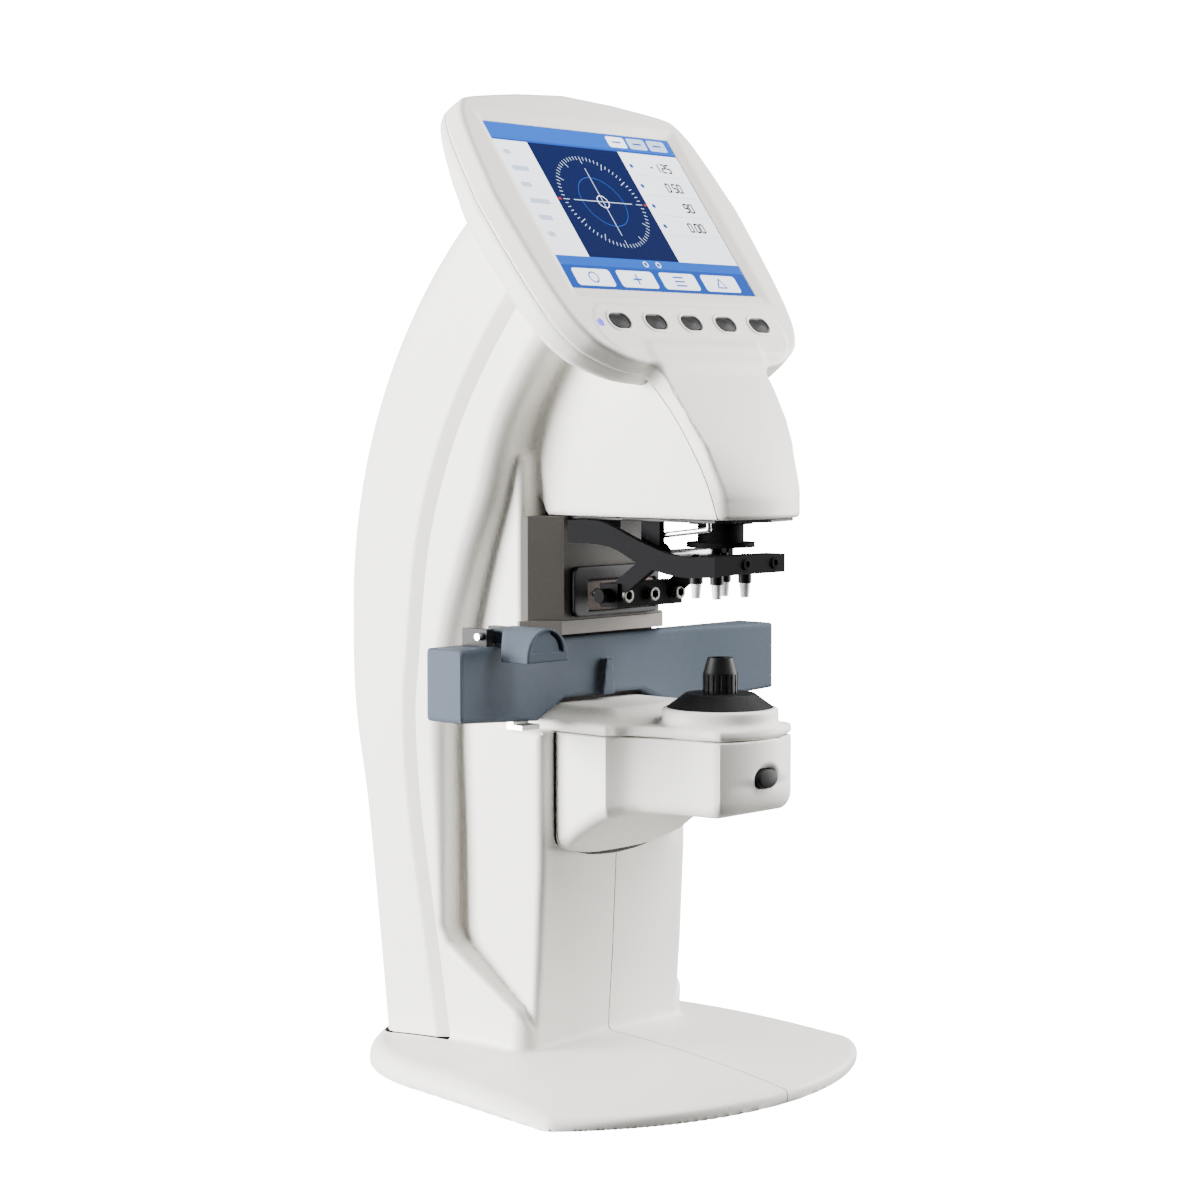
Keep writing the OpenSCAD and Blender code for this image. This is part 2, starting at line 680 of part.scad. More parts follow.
rod_seat = 1;
bush_y = neck_front + wall + 0.2;
bush_l = 24;
bush_t = 2;
module table_rods() {
    color(steel) for (s = [-1, 1]) translate([s * rod_x, -rod_seat + seat_gap, rod_z]) rotate([-90, 0, 0])
        cylinder(r = rod_r, h = rod_l);
}
module table_bushes() {
    color("#b08d4a") for (s = [-1, 1]) translate([s * rod_x, bush_y, rod_z]) rotate([-90, 0, 0])
        difference() {
            cylinder(r = rod_r + bush_t, h = bush_l);
            translate([0, 0, -1]) cylinder(r = rod_r + run_gap, h = bush_l + 2);
        }
}
module table_bracket() {
    color(steel) {
        box([rest_x + 11, -12, table_z - 6.4], [rest_x + 21.5, -5, table_z - 4.4]);
        box([rest_x + 11, -7, table_z - 6.4], [rest_x + 13, -3, table_z - seat_gap]);
    }
}
rest_x = -table_half_l + 29;
rest_pin_y = -9;
rest_pin_z = table_top + 4.2;
rest_pin_r = 1.5;
rest_front_y = -36;
rest_r = 12;
module nose_rest() {
    color(blue_grey) difference() {
        union() {
            translate([rest_x, rest_front_y, rest_pin_z - 9]) rotate([-90, 0, 0]) difference() {
                cylinder(r1 = rest_r + 2, r2 = 8, h = 20);
                translate([-far, 0, -1]) cube([2 * far, far, far]);
            }
            box([rest_x - 5, rest_front_y + 19, rest_pin_z - 3], [rest_x + 5, rest_pin_y, rest_pin_z + 3]);
            translate([rest_x - 5, rest_pin_y, rest_pin_z]) rotate([0, 90, 0]) cylinder(r = 3, h = 10);
        }
        translate([rest_x, rest_front_y - 1, rest_pin_z - 9]) rotate([-90, 0, 0]) cylinder(r = 8, h = 3);
        translate([rest_x - 20, rest_pin_y, rest_pin_z]) rotate([0, 90, 0])
            cylinder(r = rest_pin_r + run_gap, h = 40);
    }
}
module nose_rest_bracket() {
    color(black) difference() {
        union() for (s = [-1, 1]) {
            box([rest_x + s * 7.5 - 2, rest_pin_y - 3, table_top + seat_gap],
                [rest_x + s * 7.5 + 2, 2, rest_pin_z + 3]);
            box([rest_x - 9.5, -3, table_top + seat_gap], [rest_x + 9.5, 2, table_top + 2.2]);
        }
        translate([rest_x - 20, rest_pin_y, rest_pin_z]) rotate([0, 90, 0])
            cylinder(r = rest_pin_r + seat_gap, h = 40);
    }
}
module nose_rest_pin() {
    color(steel) translate([rest_x - 12, rest_pin_y, rest_pin_z]) rotate([0, 90, 0])
        cylinder(r = rest_pin_r, h = 24);
}

// Press
press_t = 3;
guide_wall = 2;
stem_r = 1.6;
collar_r = 2.8;
collar_h = 6;
light_r = 6.5;
plate_half_w = 14;
bar_front = -91;
bar_back = -81;
plate_low = pin_tip_z + 12;
riser = [-22, -12, -22, -14];
riser_top = 300;
press_side = concat(curve([[-11, head_z - 1.7], [-30, head_z - 2], [-50, plate_low + 12],
    [-70, plate_low + 6.5], [bar_front, plate_low + 6.5]]), flip(curve([[-11, head_z - 11],
    [-34, head_z - 12], [-52, plate_low + 2], [-72, plate_low - 2], [bar_front, plate_low - 1.5]])));
module press_carriage() {
    color(black) difference() {
        union() {
            across(-press_x, press_t - press_x) polygon(press_side);
            box([-press_x, bar_front, plate_low - 1], [plate_half_w, bar_back, plate_low + 6.5]);
            box([-plate_half_w, bar_back - 1, plate_low], [plate_half_w, -axis_front + 10, plate_low + 5]);
            box([-press_x, -24, head_z - 5], [riser[1], -12.2, head_z - 1.7]);
            box([riser[0], riser[2], head_z - 3], [riser[1], riser[3], riser_top]);
        }
        translate([0, -axis_front, 0]) cylinder(r = light_r, h = far);
        at_pins() cylinder(r = stem_r + seat_gap, h = far);
    }
}
module at_pins() {
    for (x = [-1, 1], y = [-1, 1]) translate([x * pin_half_x, -axis_front + y * pin_half_y, 0]) children();
}
module press_pins() {
    color("#1d1e20") at_pins() {
        translate([0, 0, plate_low - collar_h]) cylinder(r = collar_r, h = collar_h - seat_gap);
        translate([0, 0, plate_low - 1]) cylinder(r = stem_r, h = 7);
    }
}
module press_tips() {
    color("#e9eaea") at_pins() translate([0, 0, pin_tip_z])
        cylinder(r1 = stem_r + 0.1, r2 = collar_r - 0.6, h = plate_low - collar_h - pin_tip_z - seat_gap);
}
guide_high = 276;
module press_guide() {
    color("#8b8e92") difference() {
        box([riser[0] - guide_wall, riser[2] - guide_wall, plate_top_z + seat_gap],
            [riser[1] + guide_wall, riser[3] + guide_wall, guide_high]);
        box([riser[0] - move_gap, riser[2] - move_gap, 0], [riser[1] + move_gap, riser[3] + move_gap, far]);
    }
}
mech_t = 3;
mech_z = head_z + 0.5;
plate_top_z = mech_z + mech_t;

// Marker
pivot_y = -50.75;
pivot_z = 222.75;
bar_y = -25;
bar_z = 205;
link_x = 16;
link_t = 3;
link_half_w = 3.5;
pen_r = 2.4;
pen_point = 3;
boss_r = 5;
ear_x = 20.5;
ear_t = 3;
knob_l = 6.3;
knob_r = 3;
pen_tip_y = -pad_front - 0.4;
module marker_arm() {
    color(black) difference() {
        union() {
            box([-bar_half_l, bar_y - bar_side / 2, bar_z - bar_side / 2],
                [bar_half_l, bar_y + bar_side / 2, bar_z + bar_side / 2]);
            for (s = [-1, 1]) scale([s, 1, 1]) across(link_x, link_x + link_t) union() {
                translate([pivot_y, pivot_z]) circle(boss_r);
                translate([pivot_y, pivot_z]) rotate(atan2(bar_z - pivot_z, bar_y - pivot_y))
                    translate([0, -link_half_w]) square([norm([bar_z - pivot_z, bar_y - pivot_y]),
                        2 * link_half_w]);
            }
            translate([-bar_half_l - knob_l, bar_y, bar_z]) rotate([0, 90, 0])
                cylinder(r = knob_r, h = knob_l + 1);
        }
        for (i = [-1 : 1]) translate([i * pen_pitch, -far / 2, bar_z]) rotate([-90, 0, 0])
            cylinder(r = pen_r + seat_gap, h = far);
        translate([-far / 2, pivot_y, pivot_z]) rotate([0, 90, 0]) cylinder(r = pivot_r + run_gap, h = far);
    }
}
module marker_pens() {
    color("#55585c") for (i = [-1 : 1]) translate([i * pen_pitch, 0, bar_z]) rotate([-90, 0, 0]) {
        translate([0, 0, bar_y - bar_side / 2 - 2])
            cylinder(r = pen_r, h = -bar_y + bar_side / 2 + pen_tip_y + 2 - pen_point);
        translate([0, 0, pen_tip_y - pen_point]) cylinder(r1 = pen_r, r2 = 0.7, h = pen_point);
    }
}
module marker_brackets() {
    color("#3b3d41") difference() {
        for (s = [-1, 1]) scale([s, 1, 1]) box([ear_x, pivot_y - boss_r, pivot_z - boss_r],
            [ear_x + ear_t, pivot_y + boss_r, mech_z - seat_gap]);
        translate([-far / 2, pivot_y, pivot_z]) rotate([0, 90, 0])
            cylinder(r = pivot_r + seat_gap, h = far);
    }
}
module marker_pin() {
    color(steel) translate([-ear_x - ear_t - 1.5, pivot_y, pivot_z]) rotate([0, 90, 0])
        cylinder(r = pivot_r, h = 2 * (ear_x + ear_t + 1.5));
}

// Optics and mechanism plate in the head
barrel_r = 9.5;
barrel_low = 226;
lamp_h = 6;
lip_r = 14;
collar_t = 3;
barrel_t = 2;
lens_r = 19;
lens_t = 6;
lens_z = barrel_low + 8;
barrel_top = 262;
module mechanism_plate() {
    color("#2f3135") difference() {
        box([-room_half_w + seat_gap, -82, mech_z], [room_half_w - seat_gap, 29, plate_top_z]);
        translate([0, -axis_front, 0]) cylinder(r = barrel_r + seat_gap, h = far);
        box([riser[0] - move_gap, riser[2] - move_gap, 0], [riser[1] + move_gap, riser[3] + move_gap, far]);
    }
}
module upper_barrel() {
    color("#4a4c50") translate([0, -axis_front, 0]) difference() {
        union() {
            translate([0, 0, barrel_low]) cylinder(r = barrel_r, h = barrel_top - barrel_low);
            translate([0, 0, barrel_low]) cylinder(r = lip_r, h = 2);
            translate([0, 0, mech_z - collar_t]) cylinder(r = lip_r - 1, h = collar_t - seat_gap);
        }
        translate([0, 0, barrel_low - 1]) cylinder(r = barrel_r - barrel_t, h = far);
    }
}
module collimator_lens() {
    color("#cfe4ee") translate([0, -axis_front, lens_z]) {
        intersection() {
            cylinder(r = barrel_r - barrel_t - seat_gap, h = lens_t, center = true);
            translate([0, 0, lens_t / 2 - lens_r]) sphere(lens_r);
            translate([0, 0, lens_r - lens_t / 2]) sphere(lens_r);
        }
    }
}
module light_source() {
    color(board_green) translate([0, -axis_front, barrel_top + seat_gap]) {
        cylinder(r = barrel_r, h = board_t);
        translate([0, 0, board_t]) cylinder(r = barrel_r / 2, h = lamp_h);
    }
}

// Chassis and electronics
spine_y = 26;
spine_t = 4;
sole_t = 3;
spine_half_w = 32;
post_l = 10;
board_low = 70;
board_high = 150;
board_half_w = 30;
post_x = 26;
post_r = 2.5;
supply_half_w = 28;
module chassis_frame() {
    color("#9da1a5") difference() {
        union() {
            box([-spine_half_w, spine_y, floor_z + seat_gap],
                [spine_half_w, spine_y + spine_t, mech_z - seat_gap]);
            box([-spine_half_w, 8, floor_z + seat_gap],
                [spine_half_w, spine_y + spine_t, floor_z + seat_gap + sole_t]);
            box([-12, -axis_front - 14, bracket_z], [12, spine_y + 1, bracket_z + bracket_t]);
            for (x = [-post_x, post_x], z = [board_low + 6, board_high - 6])
                translate([x, spine_y + spine_t - 1, z])
                rotate([-90, 0, 0]) cylinder(r = post_r, h = post_l + 1);
        }
        for (s = [-1, 1]) translate([s * rod_x, 0, rod_z]) rotate([-90, 0, 0])
            cylinder(r = rod_r + bush_t + seat_gap, h = far);
    }
}
module main_board() {
    color(board_green) box([-board_half_w, spine_y + spine_t + post_l + seat_gap, board_low],
        [board_half_w, spine_y + spine_t + post_l + seat_gap + board_t, board_high]);
}
module power_supply() {
    color(steel) box([-supply_half_w, spine_y + spine_t + seat_gap, floor_z + sole_t + seam],
        [supply_half_w, spine_y + spine_t + 32, board_low - 10]);
}
module power_inlet() {
    color(black) on_rear(inlet_x) difference() {
        union() {
            box([-inlet_w / 2, -18, -inlet_h / 2], [inlet_w / 2, 1, inlet_h / 2]);
            box([-inlet_w / 2 - 2, seat_gap + 0.4, -inlet_h / 2 - 2],
                [inlet_w / 2 + 2, 2.2, inlet_h / 2 + 2]);
        }
        difference() {
            box([-inlet_w / 2 + 2, -15, -inlet_h / 2 + 2], [inlet_w / 2 - 2, 5, inlet_h / 2 - 2]);
            for (p = [[-7, -2], [0, 2], [7, -2]]) box([p[0] - 1, -16, p[1] - 2], [p[0] + 1, -3, p[1] + 2]);
        }
    }
}
rocker_w = 13;
rocker_tilt = 7;
trunnion_r = 0.7;
trunnion_l = 1.5;
module switch_frame() {
    color(black) on_rear(switch_x) difference() {
        union() {
            box([-switch_w / 2, -16, -switch_h / 2], [switch_w / 2, 1, switch_h / 2]);
            box([-switch_w / 2 - 1.5, seat_gap + 0.4, -switch_h / 2 - 1.5],
                [switch_w / 2 + 1.5, 2, switch_h / 2 + 1.5]);
        }
        box([-rocker_w / 2 - move_gap, -8, -switch_h / 2 + 1.2],
            [rocker_w / 2 + move_gap, 5, switch_h / 2 - 1.2]);
        rotate([0, 90, 0]) cylinder(r = trunnion_r + run_gap, h = rocker_w + 2 * trunnion_l + 1,
            center = true);
    }
}
module power_rocker() {
    color("#191a1c") on_rear(switch_x) {
        rotate([rocker_tilt, 0, 0]) across(-rocker_w / 2, rocker_w / 2)
            polygon([[-4, -2], [-1, -5.2], [1.6, -5.2], [0.8, 0], [1.6, 5.2], [-1, 5.2], [-4, 2]]);
        rotate([0, 90, 0]) cylinder(r = trunnion_r, h = rocker_w + 2 * trunnion_l, center = true);
    }
}
module housing_screws() {
    color(steel) for (s = [-1, 1]) scale([s, 1, 1])
        translate([head_half_w - screw_depth + seat_gap, screw_y, screw_z])
        rotate([0, 90, 0]) difference() {
            cylinder(r = screw_r, h = 1.8);
            translate([0, 0, 0.8]) for (a = [0, 90]) rotate(a) translate([-2.2, -0.4, 0])
                cube([4.4, 0.8, 2]);
        }
}

left_housing();
right_housing();
rear_cover();
front_cover();
display_rear_shell();
lcd_panel();
status_led();
key_1();
key_2();
key_3();
key_4();
key_5();
keypad_board();
base_plate();
rubber_feet();
mouth_liner();
ledge_plate();
arm_housing();
arm_top_cover();
read_button();
read_switch();
lens_rest_flange();
lens_rest_nose();
lower_optics();
sensor_board();
lens_table();
table_rods();
table_bushes();
table_bracket();
nose_rest();
nose_rest_bracket();
nose_rest_pin();
press_carriage();
press_pins();
press_tips();
press_guide();
marker_arm();
marker_pens();
marker_brackets();
marker_pin();
ink_pad();
mechanism_plate();
upper_barrel();
collimator_lens();
light_source();
chassis_frame();
main_board();
power_supply();
power_inlet();
switch_frame();
power_rocker();
housing_screws();
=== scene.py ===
"""Automatic lensmeter: the looks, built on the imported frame. Shapes are worked out in millimetres."""
import math

import bpy
import numpy as np
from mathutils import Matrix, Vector


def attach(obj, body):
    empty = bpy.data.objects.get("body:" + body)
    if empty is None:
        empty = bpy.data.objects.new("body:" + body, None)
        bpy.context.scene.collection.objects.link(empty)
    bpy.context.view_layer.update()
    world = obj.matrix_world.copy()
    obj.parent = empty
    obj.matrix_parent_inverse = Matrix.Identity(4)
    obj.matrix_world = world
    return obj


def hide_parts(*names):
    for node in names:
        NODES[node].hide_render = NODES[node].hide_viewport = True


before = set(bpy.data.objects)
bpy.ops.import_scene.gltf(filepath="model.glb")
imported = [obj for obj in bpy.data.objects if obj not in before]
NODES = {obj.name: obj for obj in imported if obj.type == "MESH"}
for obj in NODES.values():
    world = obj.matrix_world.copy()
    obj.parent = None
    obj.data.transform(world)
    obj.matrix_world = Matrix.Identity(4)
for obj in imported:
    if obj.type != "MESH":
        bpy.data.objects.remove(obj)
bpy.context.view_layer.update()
MM = 0.001


# Fields: signed distances in millimetres, negative inside, on any arrays that broadcast
def outline(points, u, v):
    """Distance to a closed outline drawn in u and v."""
    p = np.asarray(points, float)
    shape = np.broadcast(u, v).shape
    best = np.full(shape, 1e12)
    inside = np.zeros(shape, bool)
    for (a, b), (c, d) in zip(p, np.roll(p, -1, 0)):
        eu, ev = c - a, d - b
        if eu * eu + ev * ev < 1e-9:
            continue
        wu, wv = u - a, v - b
        t = np.clip((wu * eu + wv * ev) / (eu * eu + ev * ev), 0, 1)
        best = np.minimum(best, (wu - eu * t) ** 2 + (wv - ev * t) ** 2)
        if ev != 0:
            inside ^= ((b <= v) != (d <= v)) & (wu < wv * eu / ev)
    return np.where(inside, -1.0, 1.0) * np.sqrt(best)


def both(a, b, r=0.0):
    """What lies in a and in b, with the shared edge rounded."""
    return np.minimum(np.maximum(a, b), -r) + np.hypot(np.maximum(a + r, 0), np.maximum(b + r, 0))


def either(a, b, r=0.0):
    """What lies in a or in b, with a fillet where they meet."""
    return np.maximum(np.minimum(a, b), r) - np.hypot(np.maximum(r - a, 0), np.maximum(r - b, 0))


def without(a, b, r=0.0):
    """What lies in a and not in b."""
    return both(a, -b, r)


def ramp(v, a, b):
    """0 below a, 1 above b, smooth between."""
    t = np.clip((v - a) / (b - a), 0, 1)
    return t * t * (3 - 2 * t)


def curve(points, n=6):
    """A smooth line through the points."""
    p = np.asarray(points, float)
    out = []
    for i in range(len(p) - 1):
        a, b, c, d = p[max(i - 1, 0)], p[i], p[i + 1], p[min(i + 2, len(p) - 1)]
        for t in np.arange(n) / n:
            out.append(0.5 * (2 * b + (c - a) * t + (2 * a - 5 * b + 4 * c - d) * t * t
                              + (3 * b - a - 3 * c + d) * t ** 3))
    return out + [p[-1]]


def arc(centre, r, a0, a1, n=12):
    turn = np.radians(np.linspace(a0, a1, n + 1))
    return list(np.stack([centre[0] + r * np.cos(turn), centre[1] + r * np.sin(turn)], 1))


def mirrored(points):
    return [(-x, y) for x, y in reversed(points)]


# Meshes from fields
def surface(field, low, high, cell):
    """The zero surface of a field inside a box, as points and triangles."""
    low = np.asarray(low, float) - 1.37 * cell
    axes = [np.arange(a, b + 2 * cell, cell) for a, b in zip(low, high)]
    size = [len(a) for a in axes]
    f = field(axes[0][:, None, None], axes[1][None, :, None], axes[2][None, None, :])
    f = np.array(np.broadcast_to(f, size), np.float32)
    f[f == 0] = 1e-6
    for n in range(3):
        edge = np.moveaxis(f, n, 0)
        edge[0] = np.maximum(edge[0], 1e-3)
        edge[-1] = np.maximum(edge[-1], 1e-3)
    cells = tuple(s - 1 for s in size)
    rings, hits = [], []
    for d in range(3):
        a, b = (d + 1) % 3, (d + 2) % 3
        lo = np.moveaxis(f, d, 0)[:-1]
        hi = np.moveaxis(f, d, 0)[1:]
        at = np.argwhere((lo < 0) != (hi < 0))
        f0, f1 = lo[tuple(at.T)], hi[tuple(at.T)]
        order = [d] + [n for n in range(3) if n != d]
        at = at[:, np.argsort(order)]
        point = at.astype(float)
        point[:, d] += f0 / (f0 - f1)
        ring = []
        for da, db in ((0, 0), (-1, 0), (-1, -1), (0, -1)):
            c = at.copy()
            c[:, a] += da
            c[:, b] += db
            ring.append(np.ravel_multi_index(c.T, cells))
        ring = np.stack(ring, 1)
        back = f0 > 0
        ring[back] = ring[back][:, ::-1]
        rings.append(ring)
        hits.append(point)
    rings, hits = np.concatenate(rings), np.concatenate(hits)
    ids, index = np.unique(rings, return_inverse=True)
    index = index.reshape(rings.shape)
    count = np.bincount(index.ravel(), minlength=len(ids))
    points = np.stack([np.bincount(index.ravel(), np.repeat(hits[:, n], 4), len(ids)) / count
                       for n in range(3)], 1) * cell + low
    points = settle(field, points, cell)
    q = points[index]
    short = (np.linalg.norm(q[:, 0] - q[:, 2], axis=1) <= np.linalg.norm(q[:, 1] - q[:, 3], axis=1))
    first = np.where(short[:, None], index[:, [0, 1, 2]], index[:, [0, 1, 3]])
    second = np.where(short[:, None], index[:, [0, 2, 3]], index[:, [1, 2, 3]])
    return points, np.concatenate([first, second])


def settle(field, p, cell, steps=3):
    """Moves points onto the zero surface."""
    h = 0.04
    for _ in range(steps):
        f = field(p[:, 0], p[:, 1], p[:, 2])
        g = np.stack([(field(*(p + e).T) - field(*(p - e).T)) / (2 * h) for e in h * np.eye(3)], 1)
        step = f / np.maximum((g ** 2).sum(1), 0.05)
        p = p - np.clip(step, -0.5 * cell, 0.5 * cell)[:, None] * g
    return p


def trim(mesh, value):
    """Keeps the part of a mesh where value is below zero, cut along its zero line."""
    points, tris = mesh
    val = value(points[:, 0], points[:, 1], points[:, 2])
    val = np.where(np.abs(val) < 1e-7, -1e-7, val)
    keep = val < 0
    n = keep[tris].sum(1)
    whole = tris[n == 3]
    one, two = tris[n == 1], tris[n == 2]

    def turned(t, lone):
        k = np.argmax(keep[t] if lone else ~keep[t], 1)
        rows = np.arange(len(t))
        return t[rows, k], t[rows, (k + 1) % 3], t[rows, (k + 2) % 3]

    a1, b1, c1 = turned(one, True)
    a2, b2, c2 = turned(two, False)
    edges = np.concatenate([np.stack([a1, b1], 1), np.stack([a1, c1], 1),
                            np.stack([b2, a2], 1), np.stack([c2, a2], 1)])
    if len(edges):
        key, at = np.unique(np.sort(edges, 1), axis=0, return_inverse=True)
        at = at.ravel() + len(points)
        va, vb = val[key[:, 0]], val[key[:, 1]]
        t = (va / (va - vb))[:, None]
        points = np.concatenate([points, points[key[:, 0]] * (1 - t) + points[key[:, 1]] * t])
        ab1, ac1, ba2, ca2 = np.split(at, [len(a1), 2 * len(a1), 2 * len(a1) + len(a2)])
        whole = np.concatenate([whole, np.stack([a1, ab1, ac1], 1), np.stack([b2, c2, ca2], 1),
                                np.stack([b2, ca2, ba2], 1)])
    used, index = np.unique(whole, return_inverse=True)
    return points[used], index.reshape(-1, 3)


def flipped(mesh):
    """The mirror image across the middle plane."""
    return mesh[0] * (-1, 1, 1), mesh[1][:, ::-1]


def largest(mesh, least=200):
    """Drops loose scraps with fewer triangles than that."""
    points, tris = mesh
    label = np.arange(len(points))
    while True:
        low = label[tris].min(1)
        new = label.copy()
        for n in range(3):
            np.minimum.at(new, tris[:, n], low)
        new = new[new]
        if (new == label).all():
            break
        label = new
    names, count = np.unique(label[tris[:, 0]], return_counts=True)
    good = np.isin(label[tris[:, 0]], names[count >= least])
    used, index = np.unique(tris[good], return_inverse=True)
    return points[used], index.reshape(-1, 3)


# Shared sizes in millimetres
FACE_Y = -10.7  # front of the column
ARCH_HALF = 52  # half width of the side arches and the rear cover
HEAD_FOOT = 238  # underside of the head
SEAM_GAP = 0.22  # half a gap between two mouldings
GROOVE_GAP = 0.35  # half the long side groove
ARM_HALF = 39  # half width of the arm at the column
ARM_ROOT = -9.3  # the arm's end, just inside the column
LENS_Y = -68.5  # the optical axis
READ_Z = 132.4  # height of the read button
ARCH_Z = 160.8  # top of the table's arch
HUMP_Z = 158.9  # top of the arm's hump under it
REST_X = -68.5  # middle of the nose rest
SCREEN_W, SCREEN_H = 57.6, 43.2  # half width and half height of the lit screen

# Outlines taken from the photograph, as depth and height
GROOVE = curve([(34, -10), (36, 2), (45.3, 53.5), (55.4, 109), (58.9, 149), (56.9, 174), (50.4, 224), (37.4, 262.7),
                (20, 294.5), (-4.6, 327), (-30, 352), (-60, 380)])
REAR = (curve([(82.5, -10), (84, 2), (91.4, 64), (97.6, 111), (103.7, 143), (106.1, 168), (106.3, 195)])
        + arc((-123.3, 195), 229.6, 2, 60, 24))
INNER = (curve([(-70, -8), (-6.3, 28.4), (17.8, 42.4), (39, 55)], 4)
         + curve([(43, 61), (43.6, 102), (44.6, 146), (41.5, 170), (36.6, 192), (26.4, 220), (19.5, 236), (14.5, 248),
                  (11, 260), (6, 273.7), (-1.5, 287), (-17, 307.6), (-40, 330)]))
SEAM = curve([(-88, 226), (-88, 238.6), (-81.8, 257), (-69.6, 278), (-56.6, 293.7), (-40, 312)])
BEHIND_GROOVE = GROOVE + [(300, 420), (300, -10)]
BEFORE_REAR = REAR + [(-300, 420), (-300, -10)]
BEHIND_INNER = INNER + [(300, 420), (300, -8)]
BEFORE_SEAM = SEAM + [(-40, 420), (-300, 420), (-300, 226)]
CORE = [(-5.4, -5), (-6, 15), (-8.6, 50), (FACE_Y, 92), (FACE_Y, 148.8), (7, 148.8), (7, 262), (30, 290), (80, 290),
        (80, -5)]
HEAD = [(-140, HEAD_FOOT), (2.2, HEAD_FOOT), (13, 259.8), (34, 262), (40, 345), (-140, 345)]
BASE = (arc((0, 35.2), 140, -90, -90 + 42.3, 24) + arc((90.6, -60.2), 8.4, -40, 4, 8)
        + arc((0, 15.5), 88, 4, 90, 24))
BASE = BASE + mirrored(BASE)
TILT = math.radians(36.12)
LCD = (0.0, -13.7, 365.6)


def screen_n(y, z):
    """Height out of the screen's plane."""
    return -math.cos(TILT) * (y - LCD[1]) + math.sin(TILT) * (z - LCD[2])


def screen_v(y, z):
    """Height up the screen's plane."""
    return math.sin(TILT) * (y - LCD[1]) + math.cos(TILT) * (z - LCD[2])


def from_screen(x, v, n):
    """A place given across, up and out of the screen's plane."""
    return (x, LCD[1] + math.sin(TILT) * v - math.cos(TILT) * n,
            LCD[2] + math.cos(TILT) * v + math.sin(TILT) * n)


def dome(x, y):
    """Height of the base's gently domed top."""
    return 15.5 - (x * x + (y - 10) ** 2) / 1360


def base(x, y, z):
    shoulder = 1.6 + 5.4 * ramp(y, -92, -45)
    return both(both(outline(BASE, x, y), z - dome(x, y), shoulder), 0.3 - z, 0.6)


def head_half(y, z):
    """Half width of the head, narrower towards its front and its foot."""
    before = -outline(BEFORE_SEAM, y, z)
    flare = np.interp(z, (238, 245, 253, 265, 278, 290, 300), (-3, -2.3, -1.4, 0, 2.6, 2.6, 2))
    return 27.6 + (z - HEAD_FOOT) * 0.07 + (y + 40) * 0.04 + flare * np.clip(before / 7, 0, 1.2)


def housing(x, y, z):
    """Side arches, column, head sides and base, before they are cut into two halves."""
    ax = np.abs(x)
    inner = outline(BEHIND_INNER, y, z)
    arch = both(inner, ax - ARCH_HALF, 3 + 6 * ramp(z, 60, 210))
    arch = both(arch, outline(BEFORE_REAR, y, z), 12)
    face = np.where(z > 200, -300, FACE_Y + 4.7 * np.clip((92 - z) / 77, 0, 1.2))
    arch = both(arch, face - y, 8)
    core_half = 46.5 - 0.14 * (np.clip(y, -6, 40) + 6) - 4.5 * ramp(z, 150, 165)
    core = both(outline(CORE, y, z), ax - core_half, 3.5)
    body = either(arch, core, 0.8)
    head = both(outline(HEAD, y, z), ax - head_half(y, z), 1.5)
    body = np.maximum(either(body, head, 2), 4 - z)
    return either(body, base(x, y, z), 2.5)


def left_only(x, y, z):
    return x + SEAM_GAP


def before_groove(x, y, z):
    return np.minimum(GROOVE_GAP - outline(BEHIND_GROOVE, y, z), z - dome(x, y) - 0.3)


def behind_groove(x, y, z):
    return outline(BEHIND_GROOVE, y, z) + GROOVE_GAP


def behind_seam(x, y, z):
    return SEAM_GAP - outline(BEFORE_SEAM, y, z)


def under_display(x, y, z):
    return np.minimum(screen_n(y, z) + 9.5, screen_v(y, z) + 81)


def above_base(x, y, z):
    return dome(x, y) + 0.4 - z


def rear_cover(x, y, z):
    behind = -outline(BEHIND_GROOVE, y, z)
    half = ARCH_HALF - 3.4 * np.clip(1 - behind / 8.5, 0, 1.5)
    return both(np.abs(x) - half, outline(BEFORE_REAR, y, z), 14)


def on_rear(x, y, z, x0):
    """Across, out of and up the rear face, from the middle of an opening."""
    lean = math.radians(7)
    return (x - x0, (y - 88.4) * math.cos(lean) - (z - 40) * math.sin(lean),
            (y - 88.4) * math.sin(lean) + (z - 40) * math.cos(lean))


def rear_opening(x0, w, h):
    """Cuts the rear cover round the inlet or the switch."""
    def value(x, y, z):
        a, b, c = on_rear(x, y, z, x0)
        return -np.maximum(np.maximum(np.abs(a) - w / 2 - 0.1, np.abs(c) - h / 2 - 0.1), -12 - b)
    return value


BEZEL_SIDE = curve([(30, -83), (46, -80.5), (60, -73.5), (66.5, -66.5), (71.2, -55), (74.2, -35), (76.4, 0),
                    (75.5, 12), (73.8, 27), (71, 42), (66.5, 51), (59, 54.8), (30, 59.3)])
BEZEL = [(0, -83.4)] + BEZEL_SIDE + [(0, 61.7)] + mirrored(BEZEL_SIDE)
KEYS = [-44, -22, 0, 22, 44]
KEY_ROW = -61.5


def oval(u, v, l, h):
    return np.hypot(np.maximum(np.abs(u) - (l - h) / 2, 0), v) - h / 2


def flared(x, n):
    """The display's sides spread a little towards its back."""
    return x * (1 - 0.0039 * np.clip(2.5 - n, 0, 10))


